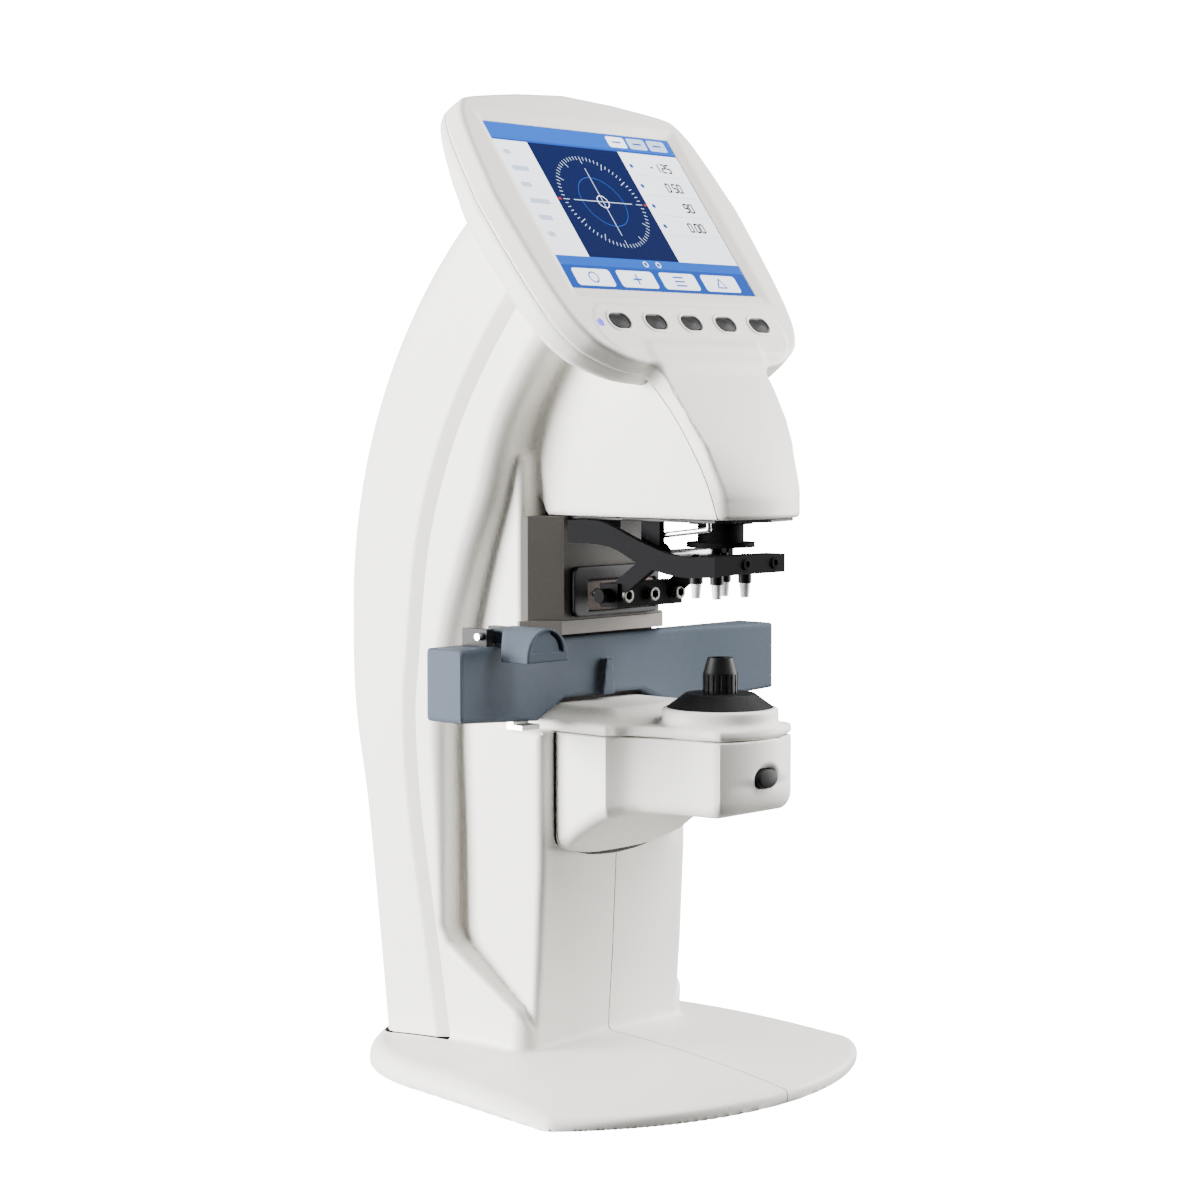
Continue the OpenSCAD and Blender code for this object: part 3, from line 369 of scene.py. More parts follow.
def bezel(x, v, n):
    face = 2.5 + 0.45 * ramp(-oval(x, v + 64.5, 118, 24), -0.6, 0.8)
    slab = both(outline(BEZEL, flared(x, n), v), np.maximum(n - face, -7 - n), 1.8)
    grow = np.clip(n - 0.2, 0, 4) / 2.0
    window = np.maximum(np.abs(x) - SCREEN_W - 4.2 * grow,
                        np.maximum(v - SCREEN_H - 3.6 * grow, -v - SCREEN_H - 5.4 * grow))
    slab = without(slab, window, 0.5)
    for k in KEYS:
        slab = without(slab, oval(x - k, v - KEY_ROW, 12.3, 7.8), 0.5)
    return without(slab, np.hypot(x + 56, v + 62.5) - 1.75, 0.3)


def front_cover(x, v, n):
    _, y, z = from_screen(x, v, n)
    rise = z - 247
    bow = np.interp(z, (245, 253, 268), (0.0098, 0.0063, 0.0015))
    front = (-97 + 0.277 * (rise + np.hypot(rise, 3)) + bow * x * x - y) * 0.88
    nose = both(both(front, np.abs(x) - head_half(y, z), 1.6), HEAD_FOOT - z, 2.0)
    nose = both(both(nose, n - 2.2, 2), v + 74)
    return either(bezel(x, v, n), nose, 5)


def nose_back(x, v, n):
    _, y, z = from_screen(x, v, n)
    return np.minimum(-6 - n, outline(BEFORE_SEAM, y, z) + SEAM_GAP)


def rear_shell(x, v, n):
    back = np.interp(v, (-83, -60, -40, 0, 20, 50, 62), (-14, -16, -17, -17, -15.5, -11.5, -9.5)) - n
    return both(both(outline(BEZEL, flared(x, n), v) + 0.3, back, 3.5), n + 5.5)


def to_frame(mesh):
    return np.stack(from_screen(*mesh[0].T), 1), mesh[1]


ARM_SIDE = (arc((0, -49), 45, -90, -59.5, 10)
            + curve([(23.6, -85.5), (25.4, -72), (29, -57), (33, -47), (ARM_HALF, -40)]) + [(ARM_HALF, ARM_ROOT)])
ARM = ARM_SIDE + mirrored(ARM_SIDE)
ARM_PROFILE = ([(ARM_ROOT, 200), (-140, 200), (-140, 129), (-94, 129)] + arc((-82, 129), 12, 180, 270, 10)
               + curve([(-50, 117), (-41, 115), (-30, 109.5), (-18, 101), (-10.8, 92.5), (ARM_ROOT, 90.8)]))
CORBEL_SIDE = curve([(0, 92.5), (15, 93.5), (26, 96), (36, 99.5), (40, 103.5)]) + [(42, 120), (60, 200)]
CORBEL = CORBEL_SIDE + mirrored(CORBEL_SIDE)


def arm_housing(x, y, z):
    plan = both(outline(ARM, x, y), np.abs(x) - 40, 0.5)
    body = both(plan, outline(ARM_PROFILE, y, z), 5)
    body = both(body, outline(CORBEL, x, z), 2.5)
    body = both(body, z - 148.3, 0.6)
    dish = np.sqrt(x * x / 2.2 + (z - READ_Z) ** 2 + (y + 98.5) ** 2) - 7.6
    body = without(body, dish, 0.8)
    body = without(body, both(np.hypot(x - 8.6, z - 149) - 1.4, y + 86))
    return without(body, np.maximum(oval(x, z - READ_Z, 12.8, 8.3), y + 80), 0.5)


def arm_top(x, y, z):
    slab = both(outline(ARM, x, y), np.abs(z - 151) - 2.2, 1.6)
    root = both(outline([(-ARM_HALF, -40), (ARM_HALF, -40), (ARM_HALF, 3.9), (-ARM_HALF, 3.9)], x, y),
                np.abs(z - 151) - 2.2, 1)
    ring = both(np.hypot(x, y - LENS_Y) - 24, np.abs(z - 154.6) - 5.4, 1.5)
    hump = both(outline([(-37, 149.5), (-37, 153), (-24, HUMP_Z), (24, HUMP_Z), (37, 153), (37, 149.5)], x, z),
                outline([(3.9, 149.5), (3.9, HUMP_Z), (-30, HUMP_Z), (-44, 153), (-44, 149.5)], y, z), 1.5)
    body = either(either(either(slab, root), hump, 3), ring, 2.5)
    return without(body, np.hypot(x, y - LENS_Y) - 6, 0.4)


TABLE_SIDE = curve([(99, -17), (77, -13), (47, -7), (21, -4), (0, -3.7)])
TABLE = TABLE_SIDE + mirrored(TABLE_SIDE)[1:] + [(-99, 3.3), (99, 3.3)]
TABLE_FRONT = [(-99, 157), (-43, 152.8), (-25, ARCH_Z), (25, ARCH_Z), (43, 152.8), (99, 157), (99, 186.5),
               (-99, 186.5)]


def lens_table(x, y, z):
    plan = outline(TABLE, x, y)
    body = both(plan, outline(TABLE_FRONT, x, z), 1.6)
    rib = both(outline([(-4, ARCH_Z), (4, ARCH_Z), (2, 176), (-2, 176)], x, z), np.abs(y + 4) - 3, 0.6)
    return either(body, rib, 0.8)


# Small pieces
def hexagon(u, w, r):
    return np.maximum(np.maximum(np.abs(u), np.abs(0.5 * u + 0.866 * w)), np.abs(0.5 * u - 0.866 * w)) - r


def rod(a, b, r):
    """A round bar from a to b."""
    a, d = np.asarray(a, float), np.subtract(b, a)

    def field(x, y, z):
        t = np.clip(((x - a[0]) * d[0] + (y - a[1]) * d[1] + (z - a[2]) * d[2]) / (d @ d), 0, 1)
        return np.sqrt((x - a[0] - t * d[0]) ** 2 + (y - a[1] - t * d[1]) ** 2 + (z - a[2] - t * d[2]) ** 2) - r
    return field


def socket_screw(places, r, front):
    """Heads of hexagon socket screws on a face that looks to the front."""
    def field(x, y, z):
        best = 99.0
        for px, pz in places:
            u, w = x - px, z - pz
            head = both(np.hypot(u, w) - r, np.abs(y - front - 0.2) - 0.8, 0.3)
            best = np.minimum(best, without(head, np.maximum(hexagon(u, w, 0.55 * r), y - front - 0.3)))
        return best
    return field


def key_cap(x, v, n):
    reach = (np.abs(x / 5.85) ** 2.5 + np.abs(v / 3.6) ** 2.5) ** 0.4
    crown = n - 3.35 + 0.55 * reach ** 2 - 0.35 * np.exp(-(reach / 0.45) ** 2)
    return both(both((reach - 1) * 3.6, crown, 0.6), -1.4 - n)


def key_rim(x, v, n):
    return np.hypot(np.maximum(np.abs(oval(x, v, 13.6, 9.1)) - 0.2, 0), n - 2.95) - 0.45


def read_cap(x, y, z):
    reach = np.hypot(x / 6.1, (z - READ_Z) / 3.95)
    crown = -95.2 + 0.7 * reach ** 2 - y
    return both(both((reach - 1) * 3.95, crown, 0.6), y + 86)


def nose_rest(x, y, z):
    a = np.abs(x - REST_X)
    roof = np.where(z > 182.8, np.hypot(a, z - 182.8) - 11.85, np.maximum(a - 11.85, 181 - z))
    body = both(both(roof, -36 - y, 0.7), (y + 21 - 0.8 * (11.85 - a)) / 1.28, 0.8)
    body = without(both(body, y + 15.5), both(z - 187, -18.6 - y), 0.4)
    disc = np.hypot(a, z - 184.8)
    body = without(body, both(both(disc - 8.9, 184.8 - z), y + 34.9), 0.25)
    groove = both(both(np.abs(disc - 8.2) - 0.65, 185.2 - z), -66 - x)
    body = without(body, both(groove, y + 32.6))
    neck = both(both(a - 5, np.abs(y + 13) - 5), np.abs(z - 190.2) - 2.8, 0.7)
    knuckle = both(np.hypot(y + 9, z - 190.5) - 3, a - 5, 0.4)
    return either(either(body, neck, 0.6), knuckle, 0.6)


def ink_frame(x, y, z):
    plate = both(both(np.abs(x) - 26.5, np.abs(z - 205.9) - 10.6, 3.2), np.abs(y + 9.75) - 1.45, 0.6)
    window = both(np.abs(x - 3.4) - 21.6, np.abs(z - 204) - 6.5, 1)
    return without(plate, both(window, y + 9.4), 0.25)


def ink_felt(x, y, z):
    pillow = 0.5 * ((x - 3.4) / 21.4) ** 4 + 0.5 * ((z - 204) / 6.3) ** 4
    face = both(np.abs(x - 3.4) - 21.4, np.abs(z - 204) - 6.3, 0.8)
    return both(face, np.maximum(-10.9 + pillow - y, y + 9.2), 0.3)


TRIM = [(-26.4, 3), (-24.4, -86), (-20, -90.5), (0, -95), (20, -90.5), (24.4, -86), (26.4, 3)]


def head_trim(x, y, z):
    edge = outline(TRIM, x, y)
    return both(np.maximum(edge, -2.4 - edge), np.abs(z - 237.35) - 0.65, 0.2)


def arm_root_shade(x, y, z):
    """Painted shade: a thin dark band where the arm meets the column, standing in for the shade in the gap at its root.
    """
    edge = both(np.abs(x) - 38.8, outline(CORBEL, x, z) + 0.55, 1.5)
    return both(both(np.maximum(edge, -6 - edge), np.abs(y + 10.55) - 0.4), z - 148)


# Finishes
def finish(name, colour, rough, metal=0.0, grain=0.0, grain_size=0.0008, tint=0.03, coat=0.0, glow=None,
           shine=0.5):
    """A procedural finish: slow colour and gloss drift, and a fine grain in the surface."""
    m = bpy.data.materials.new(name)
    m.use_nodes = True
    t = m.node_tree
    p = t.nodes["Principled BSDF"]
    where = t.nodes.new("ShaderNodeTexCoord")
    slow = t.nodes.new("ShaderNodeTexNoise")
    slow.inputs["Scale"].default_value = 14
    slow.inputs["Detail"].default_value = 3
    t.links.new(where.outputs["Object"], slow.inputs["Vector"])
    drift = t.nodes.new("ShaderNodeMapRange")
    drift.inputs["To Min"].default_value = 1 - tint
    drift.inputs["To Max"].default_value = 1 + tint
    t.links.new(slow.outputs["Fac"], drift.inputs["Value"])
    shade = t.nodes.new("ShaderNodeMix")
    shade.data_type = "RGBA"
    shade.blend_type = "MULTIPLY"
    shade.inputs["Factor"].default_value = 1
    shade.inputs["A"].default_value = (*colour, 1)
    t.links.new(drift.outputs["Result"], shade.inputs["B"])
    t.links.new(shade.outputs["Result"], p.inputs["Base Color"])
    gloss = t.nodes.new("ShaderNodeMapRange")
    gloss.inputs["To Min"].default_value = max(rough - 0.05, 0.02)
    gloss.inputs["To Max"].default_value = min(rough + 0.05, 1)
    t.links.new(slow.outputs["Fac"], gloss.inputs["Value"])
    t.links.new(gloss.outputs["Result"], p.inputs["Roughness"])
    p.inputs["Metallic"].default_value = metal
    p.inputs["Specular IOR Level"].default_value = shine
    p.inputs["Coat Weight"].default_value = coat
    p.inputs["Coat Roughness"].default_value = 0.25
    if grain:
        fine = t.nodes.new("ShaderNodeTexNoise")
        fine.inputs["Scale"].default_value = 1 / grain_size
        fine.inputs["Detail"].default_value = 2
        t.links.new(where.outputs["Object"], fine.inputs["Vector"])
        bump = t.nodes.new("ShaderNodeBump")
        bump.inputs["Strength"].default_value = grain
        bump.inputs["Distance"].default_value = 0.0002
        t.links.new(fine.outputs["Fac"], bump.inputs["Height"])
        t.links.new(bump.outputs["Normal"], p.inputs["Normal"])
    if glow:
        t.links.new(shade.outputs["Result"], p.inputs["Emission Color"])
        p.inputs["Emission Strength"].default_value = glow
    return m


WHITE = finish("white_shell", (0.80, 0.78, 0.725), 0.45, grain=0.12, tint=0.012, shine=0.35)
BEZEL_WHITE = finish("bezel_shell", (0.80, 0.77, 0.715), 0.45, grain=0.15, tint=0.012, shine=0.4)
KEY = finish("key_plastic", (0.02, 0.02, 0.021), 0.45, grain=0.1, shine=0.08)
BLACK = finish("black_plastic", (0.007, 0.007, 0.0075), 0.45, grain=0.2, shine=0.15)
BLACK_METAL = finish("black_metal", (0.008, 0.008, 0.0088), 0.5, grain=0.15, shine=0.008)
LINER = finish("liner_grey", (0.085, 0.079, 0.072), 0.6, grain=0.15, shine=0.1)
LEDGE = finish("ledge_grey", (0.2, 0.185, 0.167), 0.55, grain=0.1, shine=0.15)
BLUE_GREY = finish("blue_grey", (0.068, 0.084, 0.106), 0.5, grain=0.15, shine=0.03)
STEEL = finish("steel", (0.5, 0.5, 0.5), 0.35, metal=1.0, grain=0.05)
DULL_STEEL = finish("dull_steel", (0.1, 0.096, 0.088), 0.5, metal=1.0, grain=0.1)
RUBBER = finish("rubber", (0.02, 0.02, 0.021), 0.75, grain=0.3)
BOARD = finish("circuit_board", (0.02, 0.12, 0.06), 0.45)
BRASS = finish("brass", (0.55, 0.40, 0.16), 0.3, metal=1.0)
TIP = finish("clear_tip", (0.82, 0.84, 0.84), 0.25, grain=0.05)
GLASS = finish("optic_glass", (0.25, 0.32, 0.36), 0.06, coat=1.0)
LED = finish("indicator", (0.10, 0.10, 0.85), 0.3, glow=1.2)
# Painted shade: near black on the cut edges of the white shells' walls and on the line at the arm's root, standing in
# for the shade in seams, gaps and openings.
SEAM_SHADE = finish("seam_painted_shade", (0.03, 0.03, 0.03), 0.8)
PAD = finish("ink_pad_felt", (0.16, 0.13, 0.115), 0.9, grain=0.9, grain_size=0.0006, tint=0.12)


def lit(name, colour, pitch=0.00018):
    """A lit part of the screen: colour that fades a little towards the foot, over a fine grid of dots."""
    m = bpy.data.materials.new(name)
    m.use_nodes = True
    t = m.node_tree
    p = t.nodes["Principled BSDF"]
    where = t.nodes.new("ShaderNodeTexCoord")
    fade = t.nodes.new("ShaderNodeSeparateXYZ")
    t.links.new(where.outputs["Object"], fade.inputs["Vector"])
    slope = t.nodes.new("ShaderNodeMapRange")
    for key, value in (("From Min", 0.33), ("From Max", 0.40), ("To Min", 0.88), ("To Max", 1.04)):
        slope.inputs[key].default_value = value
    t.links.new(fade.outputs["Z"], slope.inputs["Value"])
    dots = t.nodes.new("ShaderNodeTexWave")
    dots.inputs["Scale"].default_value = 0.314 / pitch
    t.links.new(where.outputs["Object"], dots.inputs["Vector"])
    grid = t.nodes.new("ShaderNodeMapRange")
    grid.inputs["To Min"].default_value = 0.95
    grid.inputs["To Max"].default_value = 1.05
    t.links.new(dots.outputs["Fac"], grid.inputs["Value"])
    level = t.nodes.new("ShaderNodeMath")
    level.operation = "MULTIPLY"
    t.links.new(slope.outputs["Result"], level.inputs[0])
    t.links.new(grid.outputs["Result"], level.inputs[1])
    shade = t.nodes.new("ShaderNodeMix")
    shade.data_type = "RGBA"
    shade.blend_type = "MULTIPLY"
    shade.inputs["Factor"].default_value = 1
    shade.inputs["A"].default_value = (*colour, 1)
    t.links.new(level.outputs["Value"], shade.inputs["B"])
    t.links.new(shade.outputs["Result"], p.inputs["Emission Color"])
    p.inputs["Emission Strength"].default_value = 1
    p.inputs["Base Color"].default_value = (0.004, 0.004, 0.005, 1)
    p.inputs["Roughness"].default_value = 0.3
    p.inputs["Specular IOR Level"].default_value = 0.08
    return m


CREASE = math.radians(35)


def solid(name, mesh, finish_of, slot, body, *nodes, wall=0.0):
    """A piece of the object from points in millimetres and triangles."""
    points, tris = mesh
    data = bpy.data.meshes.new(name)
    data.from_pydata((points * MM).tolist(), [], tris.tolist())
    data.update()
    data.materials.append(finish_of)
    data.polygons.foreach_set("use_smooth", np.ones(len(data.polygons), bool))
    obj = bpy.data.objects.new(name, data)
    bpy.context.scene.collection.objects.link(obj)
    # The rim faces of a wall get the painted shade finish, so seams and cut edges read as dark lines.
    if wall:
        data.materials.append(SEAM_SHADE)
        shell = obj.modifiers.new("wall", "SOLIDIFY")
        shell.thickness = wall * MM
        shell.offset = -1
        shell.material_offset_rim = 1
    split = obj.modifiers.new("crisp", "EDGE_SPLIT")
    split.split_angle = CREASE
    if nodes:
        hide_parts(*nodes)
    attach(obj, body)
    return obj


def dress(node, finish_of, bevel):
    """Gives a CAD node its finish, and small round edges."""
    obj = NODES[node]
    obj.data.materials.clear()
    obj.data.materials.append(finish_of)
    if bevel:
        edge = obj.modifiers.new("edge", "BEVEL")
        edge.width = bevel * MM
        edge.segments = 2
        edge.limit_method = "ANGLE"
        edge.angle_limit = math.radians(30)
        edge.harden_normals = False
        edge.use_clamp_overlap = True


# Picture on the screen: flat shapes across and up the screen, each on its own layer
SHAPES = []
PALE, MIST, BLUE, DEEP, NAVY, INK, RED = range(7)
SCREEN_LOOKS = [lit(f"screen_{name}", colour) for name, colour in (
    ("pale", (2.7, 2.8, 2.95)), ("mist", (1.25, 1.55, 1.95)), ("blue", (0.03, 0.24, 1.2)),
    ("deep", (0.02, 0.15, 0.85)), ("navy", (0.004, 0.016, 0.14)), ("ink", (0.03, 0.04, 0.06)),
    ("red", (1.1, 0.05, 0.05)))]
BAR_LOW, BAR_HIGH, HEADER = -31.2, -26.5, 33.6  # heights of the bars on the screen
DIAL_X, DIAL_V = -9, 4  # middle of the dial


def block(x0, v0, x1, v1, layer, look, r=0.0):
    if r:
        corners = ((x1 - r, v1 - r, 0), (x0 + r, v1 - r, 90), (x0 + r, v0 + r, 180), (x1 - r, v0 + r, 270))
        ring = [p for cx, cv, a in corners for p in arc((cx, cv), r, a, a + 90, 4)]
    else:
        ring = [(x0, v0), (x1, v0), (x1, v1), (x0, v1)]
    SHAPES.append((ring, layer, look))


def stroke(x0, v0, x1, v1, width, layer, look):
    length = math.hypot(x1 - x0, v1 - v0)
    du, dv = -(v1 - v0) / length * width / 2, (x1 - x0) / length * width / 2
    ring = [(x0 - du, v0 - dv), (x1 - du, v1 - dv), (x1 + du, v1 + dv), (x0 + du, v0 + dv)]
    SHAPES.append((ring, layer, look))


def circle(cx, cv, r, width, layer, look, n=48):
    p = arc((cx, cv), r, 0, 360, n)
    for a, b in zip(p, p[1:]):
        stroke(*a, *b, width, layer, look)


def number(text, x, v, h, layer, look):
    """Plain figures made of straight strokes."""
    w = 0.5 * h
    bars = {"a": (0, h, w, h), "b": (w, h, w, h / 2), "c": (w, h / 2, w, 0), "d": (0, 0, w, 0),
            "e": (0, 0, 0, h / 2), "f": (0, h / 2, 0, h), "g": (0, h / 2, w, h / 2), "-": (0, h / 2, w * 0.8, h / 2)}
    shapes = {"0": "abcdef", "1": "bc", "2": "abged", "5": "afgcd", "9": "abcfgd", "-": "-"}
    for c in text:
        if c == ".":
            block(x, v - 0.15, x + 0.5, v + 0.35, layer, look)
            x += 1.1
            continue
        for bar in shapes[c]:
            a, b, e, f = bars[bar]
            stroke(x + a, v + b, x + e, v + f, 0.85, layer, look)
        x += w + 1.0


block(-SCREEN_W, -SCREEN_H, SCREEN_W, SCREEN_H, 0, PALE)
block(-SCREEN_W, 34.6, SCREEN_W, SCREEN_H, 1, BLUE)
block(-SCREEN_W, HEADER, SCREEN_W, 34.6, 1, DEEP)
for i in range(3):
    block(16 + 13.2 * i, 36, 27.6 + 13.2 * i, 42, 2, MIST if i else PALE, 1.2)
    stroke(19 + 13.2 * i, 39, 24.6 + 13.2 * i, 39, 0.8, 3, DEEP)
block(-37, BAR_HIGH, 19, HEADER, 1, NAVY)
for i in range(72):
    a = math.radians(5 * i)
    inner = 20.5 if i % 6 == 0 else 22.5
    stroke(DIAL_X + inner * math.cos(a), DIAL_V + inner * math.sin(a),
           DIAL_X + 24.4 * math.cos(a), DIAL_V + 24.4 * math.sin(a), 0.35, 2, MIST)
stroke(DIAL_X - 18, DIAL_V, DIAL_X + 18, DIAL_V, 0.4, 2, MIST)
stroke(DIAL_X, DIAL_V - 18, DIAL_X, DIAL_V + 18, 0.4, 2, MIST)
circle(DIAL_X, DIAL_V, 3.2, 0.4, 2, PALE, 24)
circle(DIAL_X, DIAL_V, 13, 0.25, 2, BLUE)
for side in (-1, 1):
    stroke(DIAL_X + side * 25.6, DIAL_V, DIAL_X + side * 27.4, DIAL_V, 1.0, 2, RED)
for i, text in enumerate(("-1.25", "0.50", "90", "0.00")):
    block(22, 25 - 11 * i, 24.2, 27.2 - 11 * i, 2, DEEP, 0.9)
    wide = 3.4 * len(text.replace(".", "")) + 1.1 * text.count(".")
    number(text, 50.2 - wide, 24 - 11 * i, 4.4, 2, INK)
    stroke(22, 21.2 - 11 * i, 54, 21.2 - 11 * i, 0.25, 2, MIST)
for i in range(6):
    block(-54.5, 26 - 8.6 * i, -54.5 + 4 + 1.9 * ((i * 3) % 5), 28.6 - 8.6 * i, 2, MIST, 0.8)
block(-SCREEN_W, BAR_LOW, SCREEN_W, BAR_HIGH, 1, BLUE)
block(-SCREEN_W, -SCREEN_H, SCREEN_W, BAR_LOW, 1, DEEP)
for i in range(4):
    x0 = -52.5 + 26.6 * i
    block(x0, -41.6, x0 + 22.6, -32.8, 2, PALE, 1.6)
    if i == 0:
        circle(x0 + 11.3, -37.2, 2.6, 0.7, 3, BLUE, 24)
    elif i == 1:
        stroke(x0 + 8.6, -37.2, x0 + 14, -37.2, 0.9, 3, BLUE)
        stroke(x0 + 11.3, -39.9, x0 + 11.3, -34.5, 0.9, 3, BLUE)
    elif i == 2:
        for k in range(3):
            stroke(x0 + 8, -39.4 + 2.2 * k, x0 + 14.6, -39.4 + 2.2 * k, 0.8, 3, BLUE)
    else:
        corners = [(8.4, -39.4), (14.2, -39.4), (11.3, -34.6)]
        for (ax, av), (bx, bv) in zip(corners, corners[1:] + corners[:1]):
            stroke(x0 + ax, av, x0 + bx, bv, 0.7, 3, BLUE)
for i in range(2):
    circle(-4 + 8 * i, -28.8, 1.3, 0.5, 2, PALE, 20)

data = bpy.data.meshes.new("screen_picture")
points, faces = [], []
for ring, layer, look in SHAPES:
    faces.append(list(range(len(points), len(points) + len(ring))))
    points += [tuple(MM * c for c in from_screen(x, v, 0.05 + 0.04 * layer)) for x, v in ring]
data.from_pydata(points, [], faces)
for look in SCREEN_LOOKS:
    data.materials.append(look)
data.polygons.foreach_set("material_index", [look for _, _, look in SHAPES])
picture = bpy.data.objects.new("screen_picture", data)
bpy.context.scene.collection.objects.link(picture)
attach(picture, "stand")

# The visible pieces
FINE = 1.0
shell = surface(housing, (-100, -106, 0), (1.5, 107, 345), 1.4 / FINE)
for side in (left_only, before_groove, behind_seam, under_display):
    shell = trim(shell, side)
shell = largest(shell)
solid("shell_left", shell, WHITE, "white_shell", "stand", "left_housing", wall=2)
solid("shell_right", flipped(shell), WHITE, "white_shell", "stand", "right_housing", wall=2)

cover = surface(rear_cover, (-53, -30, 0), (53, 107, 385), 1.8 / FINE)
for side in (behind_groove, under_display, above_base, rear_opening(-20, 27, 20), rear_opening(20, 21, 15)):
    cover = trim(cover, side)
solid("shell_rear", largest(cover), WHITE, "white_shell", "stand", "rear_cover", wall=2)

front = trim(surface(front_cover, (-80, -156, -22), (80, 63, 4), 0.9 / FINE), nose_back)
solid("shell_front", to_frame(largest(front)), BEZEL_WHITE, "bezel_shell", "stand", "front_cover", wall=1.6)
back = trim(surface(rear_shell, (-80, -84, -18), (80, 63, -5), 1.1 / FINE), lambda x, v, n: n + 6.3)
solid("shell_display", to_frame(largest(back)), WHITE, "white_shell", "stand", "display_rear_shell", wall=1.6)
solid("arm_shell", surface(arm_housing, (-41, -95, 91), (41, -10, 150), 0.9 / FINE), WHITE, "white_shell", "stand",
      "arm_housing")
solid("arm_cap", surface(arm_top, (-40, -95, 148), (40, 5, 164), 0.8 / FINE), WHITE, "white_shell", "stand",
      "arm_top_cover")
solid("table_bar", surface(lens_table, (-100, -18, 151.5), (100, 4, 187.5), 0.9 / FINE), BLUE_GREY, "blue_grey",
      "table", "lens_table")

solid("rest_roof", surface(nose_rest, (-81, -37, 180), (-56, -5, 196), 0.5 / FINE), BLUE_GREY, "blue_grey",
      "nose_rest", "nose_rest")
solid("ink_holder", surface(ink_frame, (-27.5, -12, 194), (27.5, -7.5, 217.5), 0.6 / FINE), BLACK, "black_plastic",
      "stand", "ink_pad")
solid("ink_cushion", surface(ink_felt, (-19, -12, 197), (26, -8.5, 211), 0.6 / FINE), PAD, "rubber", "stand")
solid("head_gasket", surface(head_trim, (-27.5, -96, 236), (27.5, 4, 239), 0.55 / FINE), BLACK, "black_plastic",
      "stand")
# Painted shade: a dark band in the gap round the arm's root.
solid("arm_root_shade_line", surface(arm_root_shade, (-41, -12.5, 90), (41, -9.5, 153), 0.4 / FINE), SEAM_SHADE, "black_plastic", "stand")
screws = socket_screw([(-11, 220), (7, 220)], 2.3, -91.2)
solid("press_screws", surface(screws, (-14, -93, 217), (10, -89.5, 223), 0.3 / FINE), BLACK_METAL, "black_metal",
      "press")
screws = socket_screw([(-16.4, 205), (0, 205), (16.4, 205)], 3.0, -32.3)
solid("marker_screws", surface(screws, (-20, -34, 201), (20, -30.5, 209), 0.35 / FINE), DULL_STEEL, "steel", "marker")
link = rod((-20, -52, 230.7), (-20, -79, 233.9), 1.2)
post = rod((-20, -79, 233.9), (-20, -79, 239), 1.0)
guide = surface(lambda x, y, z: either(link(x, y, z), post(x, y, z), 0.6), (-22, -81, 229), (-18, -50, 240), 0.4 / FINE)
solid("guide_link", guide, STEEL, "steel", "stand")
cap = surface(key_cap, (-6.5, -4.5, -2), (6.5, 4.5, 4), 0.32 / FINE)
rim = surface(key_rim, (-8, -6, 2), (8, 6, 3.8), 0.25 / FINE)
for i, k in enumerate(KEYS, 1):
    solid(f"key_top_{i}", to_frame((cap[0] + (k, KEY_ROW, 0), cap[1])), KEY, "key_plastic", f"key_{i}", f"key_{i}")
    solid(f"key_rim_{i}", to_frame((rim[0] + (k, KEY_ROW, 0), rim[1])), BEZEL_WHITE, "bezel_shell", "stand")
solid("read_top", surface(read_cap, (-7, -96.5, 127), (7, -85, 138), 0.4 / FINE), KEY, "key_plastic", "read_button",
      "read_button")

for name, look, bevel in (
        ("mouth_liner", LINER, 0.8), ("ledge_plate", LEDGE, 0.8), ("base_plate", BLACK, 0),
        ("rubber_feet", RUBBER, 0.3),
        ("lens_rest_flange", BLACK, 0.4), ("lens_rest_nose", BLACK, 0), ("table_rods", STEEL, 0),
        ("table_bracket", STEEL, 0.3), ("nose_rest_bracket", BLACK, 0.4),
        ("nose_rest_pin", STEEL, 0.2), ("press_carriage", BLACK_METAL, 0.4), ("press_pins", BLACK, 0.2),
        ("press_tips", TIP, 0.2), ("marker_arm", BLACK_METAL, 0.4), ("marker_pens", STEEL, 0.2),
        ("marker_brackets", BLACK_METAL, 0.4), ("marker_pin", STEEL, 0.2), ("mechanism_plate", BLACK_METAL, 0),
        ("upper_barrel", BLACK_METAL, 0.3), ("collimator_lens", GLASS, 0),
        ("light_source", BOARD, 0), ("chassis_frame", STEEL, 0), ("main_board", BOARD, 0), ("power_supply", STEEL, 0),
        ("power_inlet", BLACK, 0.3), ("switch_frame", BLACK, 0.3), ("power_rocker", BLACK, 0.3),
        ("housing_screws", STEEL, 0.15), ("keypad_board", BOARD, 0), ("read_switch", BLACK, 0),
        ("lower_optics", BLACK, 0), ("sensor_board", BOARD, 0), ("table_bushes", BRASS, 0), ("press_guide", STEEL, 0),
        ("status_led", LED, 0), ("lcd_panel", BLACK, 0.3)):
    dress(name, look, bevel)


# Stage: the lights, a white surround and floor that only the camera sees, and the camera
WHITE_OUT = 18
MIDDLE = (0, 0, 0.2)
FLOOR_Z, FLOOR_HALF = -0.0002, 2


def area_light(name, place, size, watts):
    light = bpy.data.lights.new(name, "AREA")
    light.shape = "RECTANGLE"
    light.size, light.size_y = size
    light.energy = watts
    obj = bpy.data.objects.new(name, light)
    obj.location = place
    obj.rotation_euler = (Vector(MIDDLE) - Vector(place)).to_track_quat("-Z", "Y").to_euler()
    obj.visible_camera = False
    bpy.context.scene.collection.objects.link(obj)


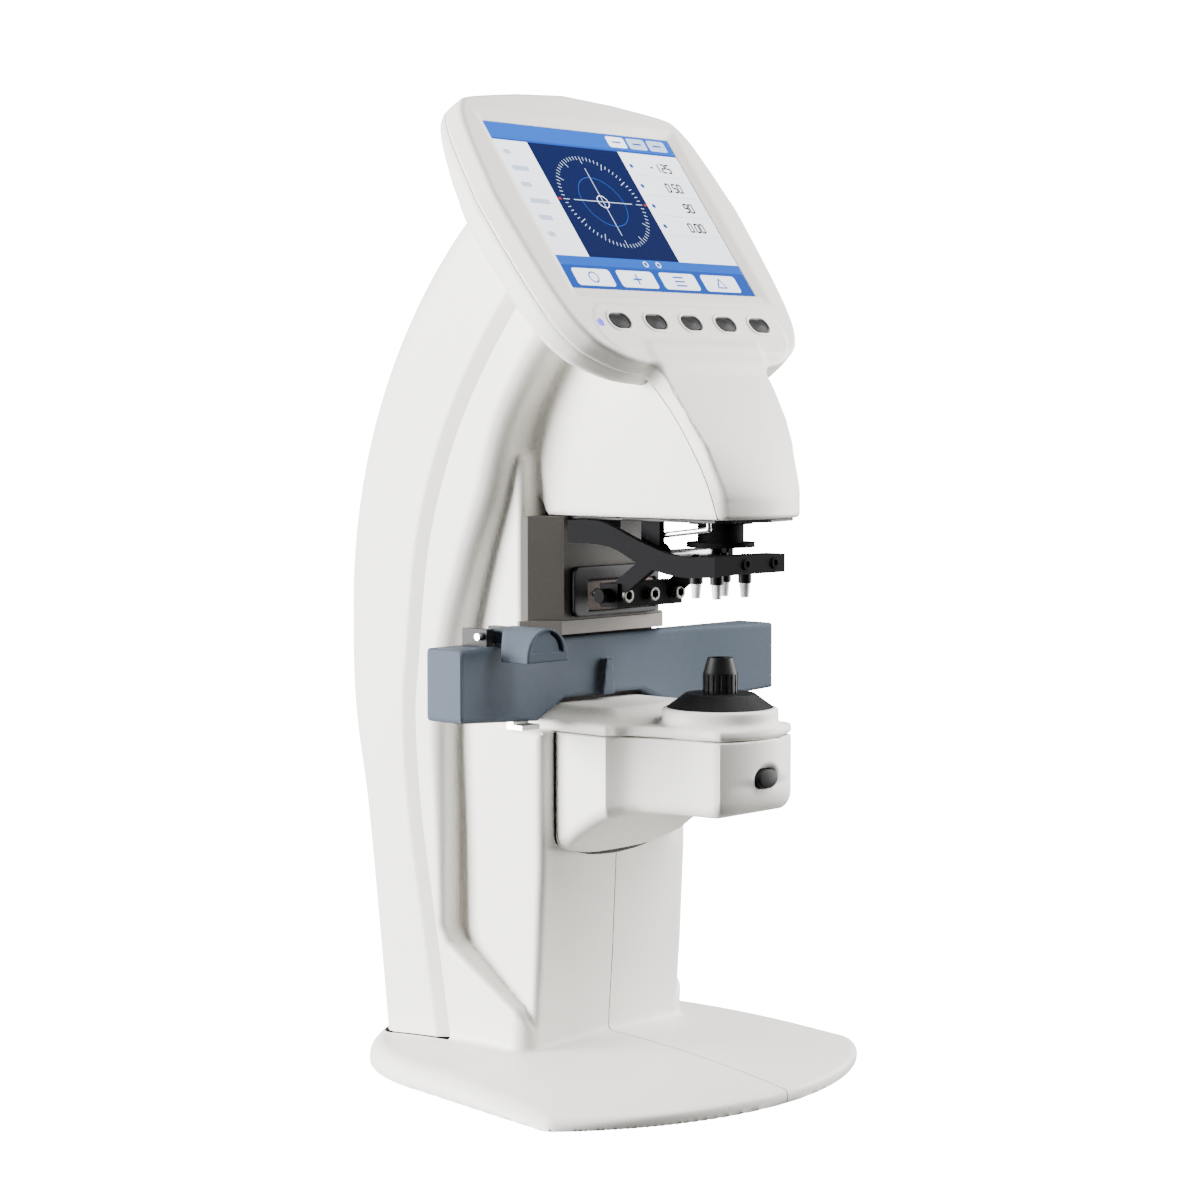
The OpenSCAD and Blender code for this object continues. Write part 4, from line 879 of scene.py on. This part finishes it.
area_light("key_light", (-1.7, 1.35, 0.4), (1.2, 1.4), 295)
area_light("right_fill", (0.48, -0.28, 0.3), (0.35, 0.6), 10)
area_light("top_light", (0.4, -0.95, 1.65), (1.0, 1.0), 52)

world = bpy.data.worlds.new("studio")
world.use_nodes = True
bpy.context.scene.world = world
tree = world.node_tree
sky = tree.nodes["Background"]
sky.inputs["Color"].default_value = (1, 1, 1, 1)
sky.inputs["Strength"].default_value = 0.1
plain = tree.nodes.new("ShaderNodeBackground")
plain.inputs["Color"].default_value = (1, 1, 1, 1)
plain.inputs["Strength"].default_value = WHITE_OUT
seen = tree.nodes.new("ShaderNodeLightPath")
mixed = tree.nodes.new("ShaderNodeMixShader")
tree.links.new(seen.outputs["Is Camera Ray"], mixed.inputs["Fac"])
tree.links.new(sky.outputs["Background"], mixed.inputs[1])
tree.links.new(plain.outputs["Background"], mixed.inputs[2])
tree.links.new(mixed.outputs["Shader"], tree.nodes["World Output"].inputs["Surface"])

floor = bpy.data.objects.new("floor", bpy.data.meshes.new("floor"))
corners = ((-1, -1), (1, -1), (1, 1), (-1, 1))
floor.data.from_pydata([(a * FLOOR_HALF, b * FLOOR_HALF, FLOOR_Z) for a, b in corners], [], [(0, 1, 2, 3)])
pale = bpy.data.materials.new("pale_floor")
pale.use_nodes = True
pale.cycles.emission_sampling = "NONE"
p = pale.node_tree.nodes["Principled BSDF"]
p.inputs["Base Color"].default_value = (0.9, 0.9, 0.9, 1)
p.inputs["Roughness"].default_value = 0.9
p.inputs["Emission Color"].default_value = (1, 1, 1, 1)
p.inputs["Emission Strength"].default_value = WHITE_OUT
floor.data.materials.append(pale)
floor.visible_diffuse = floor.visible_glossy = floor.visible_transmission = floor.visible_shadow = False
bpy.context.scene.collection.objects.link(floor)

camera = bpy.data.objects.new("camera", bpy.data.cameras.new("camera"))
camera.data.sensor_width = 36
camera.data.lens = 80.98
camera.data.clip_start = 0.05
camera.location = (-0.84935, -0.77988, 0.28148)
camera.rotation_euler = (math.radians(86), 0, math.radians(-47.49))
bpy.context.scene.collection.objects.link(camera)
bpy.context.scene.camera = camera
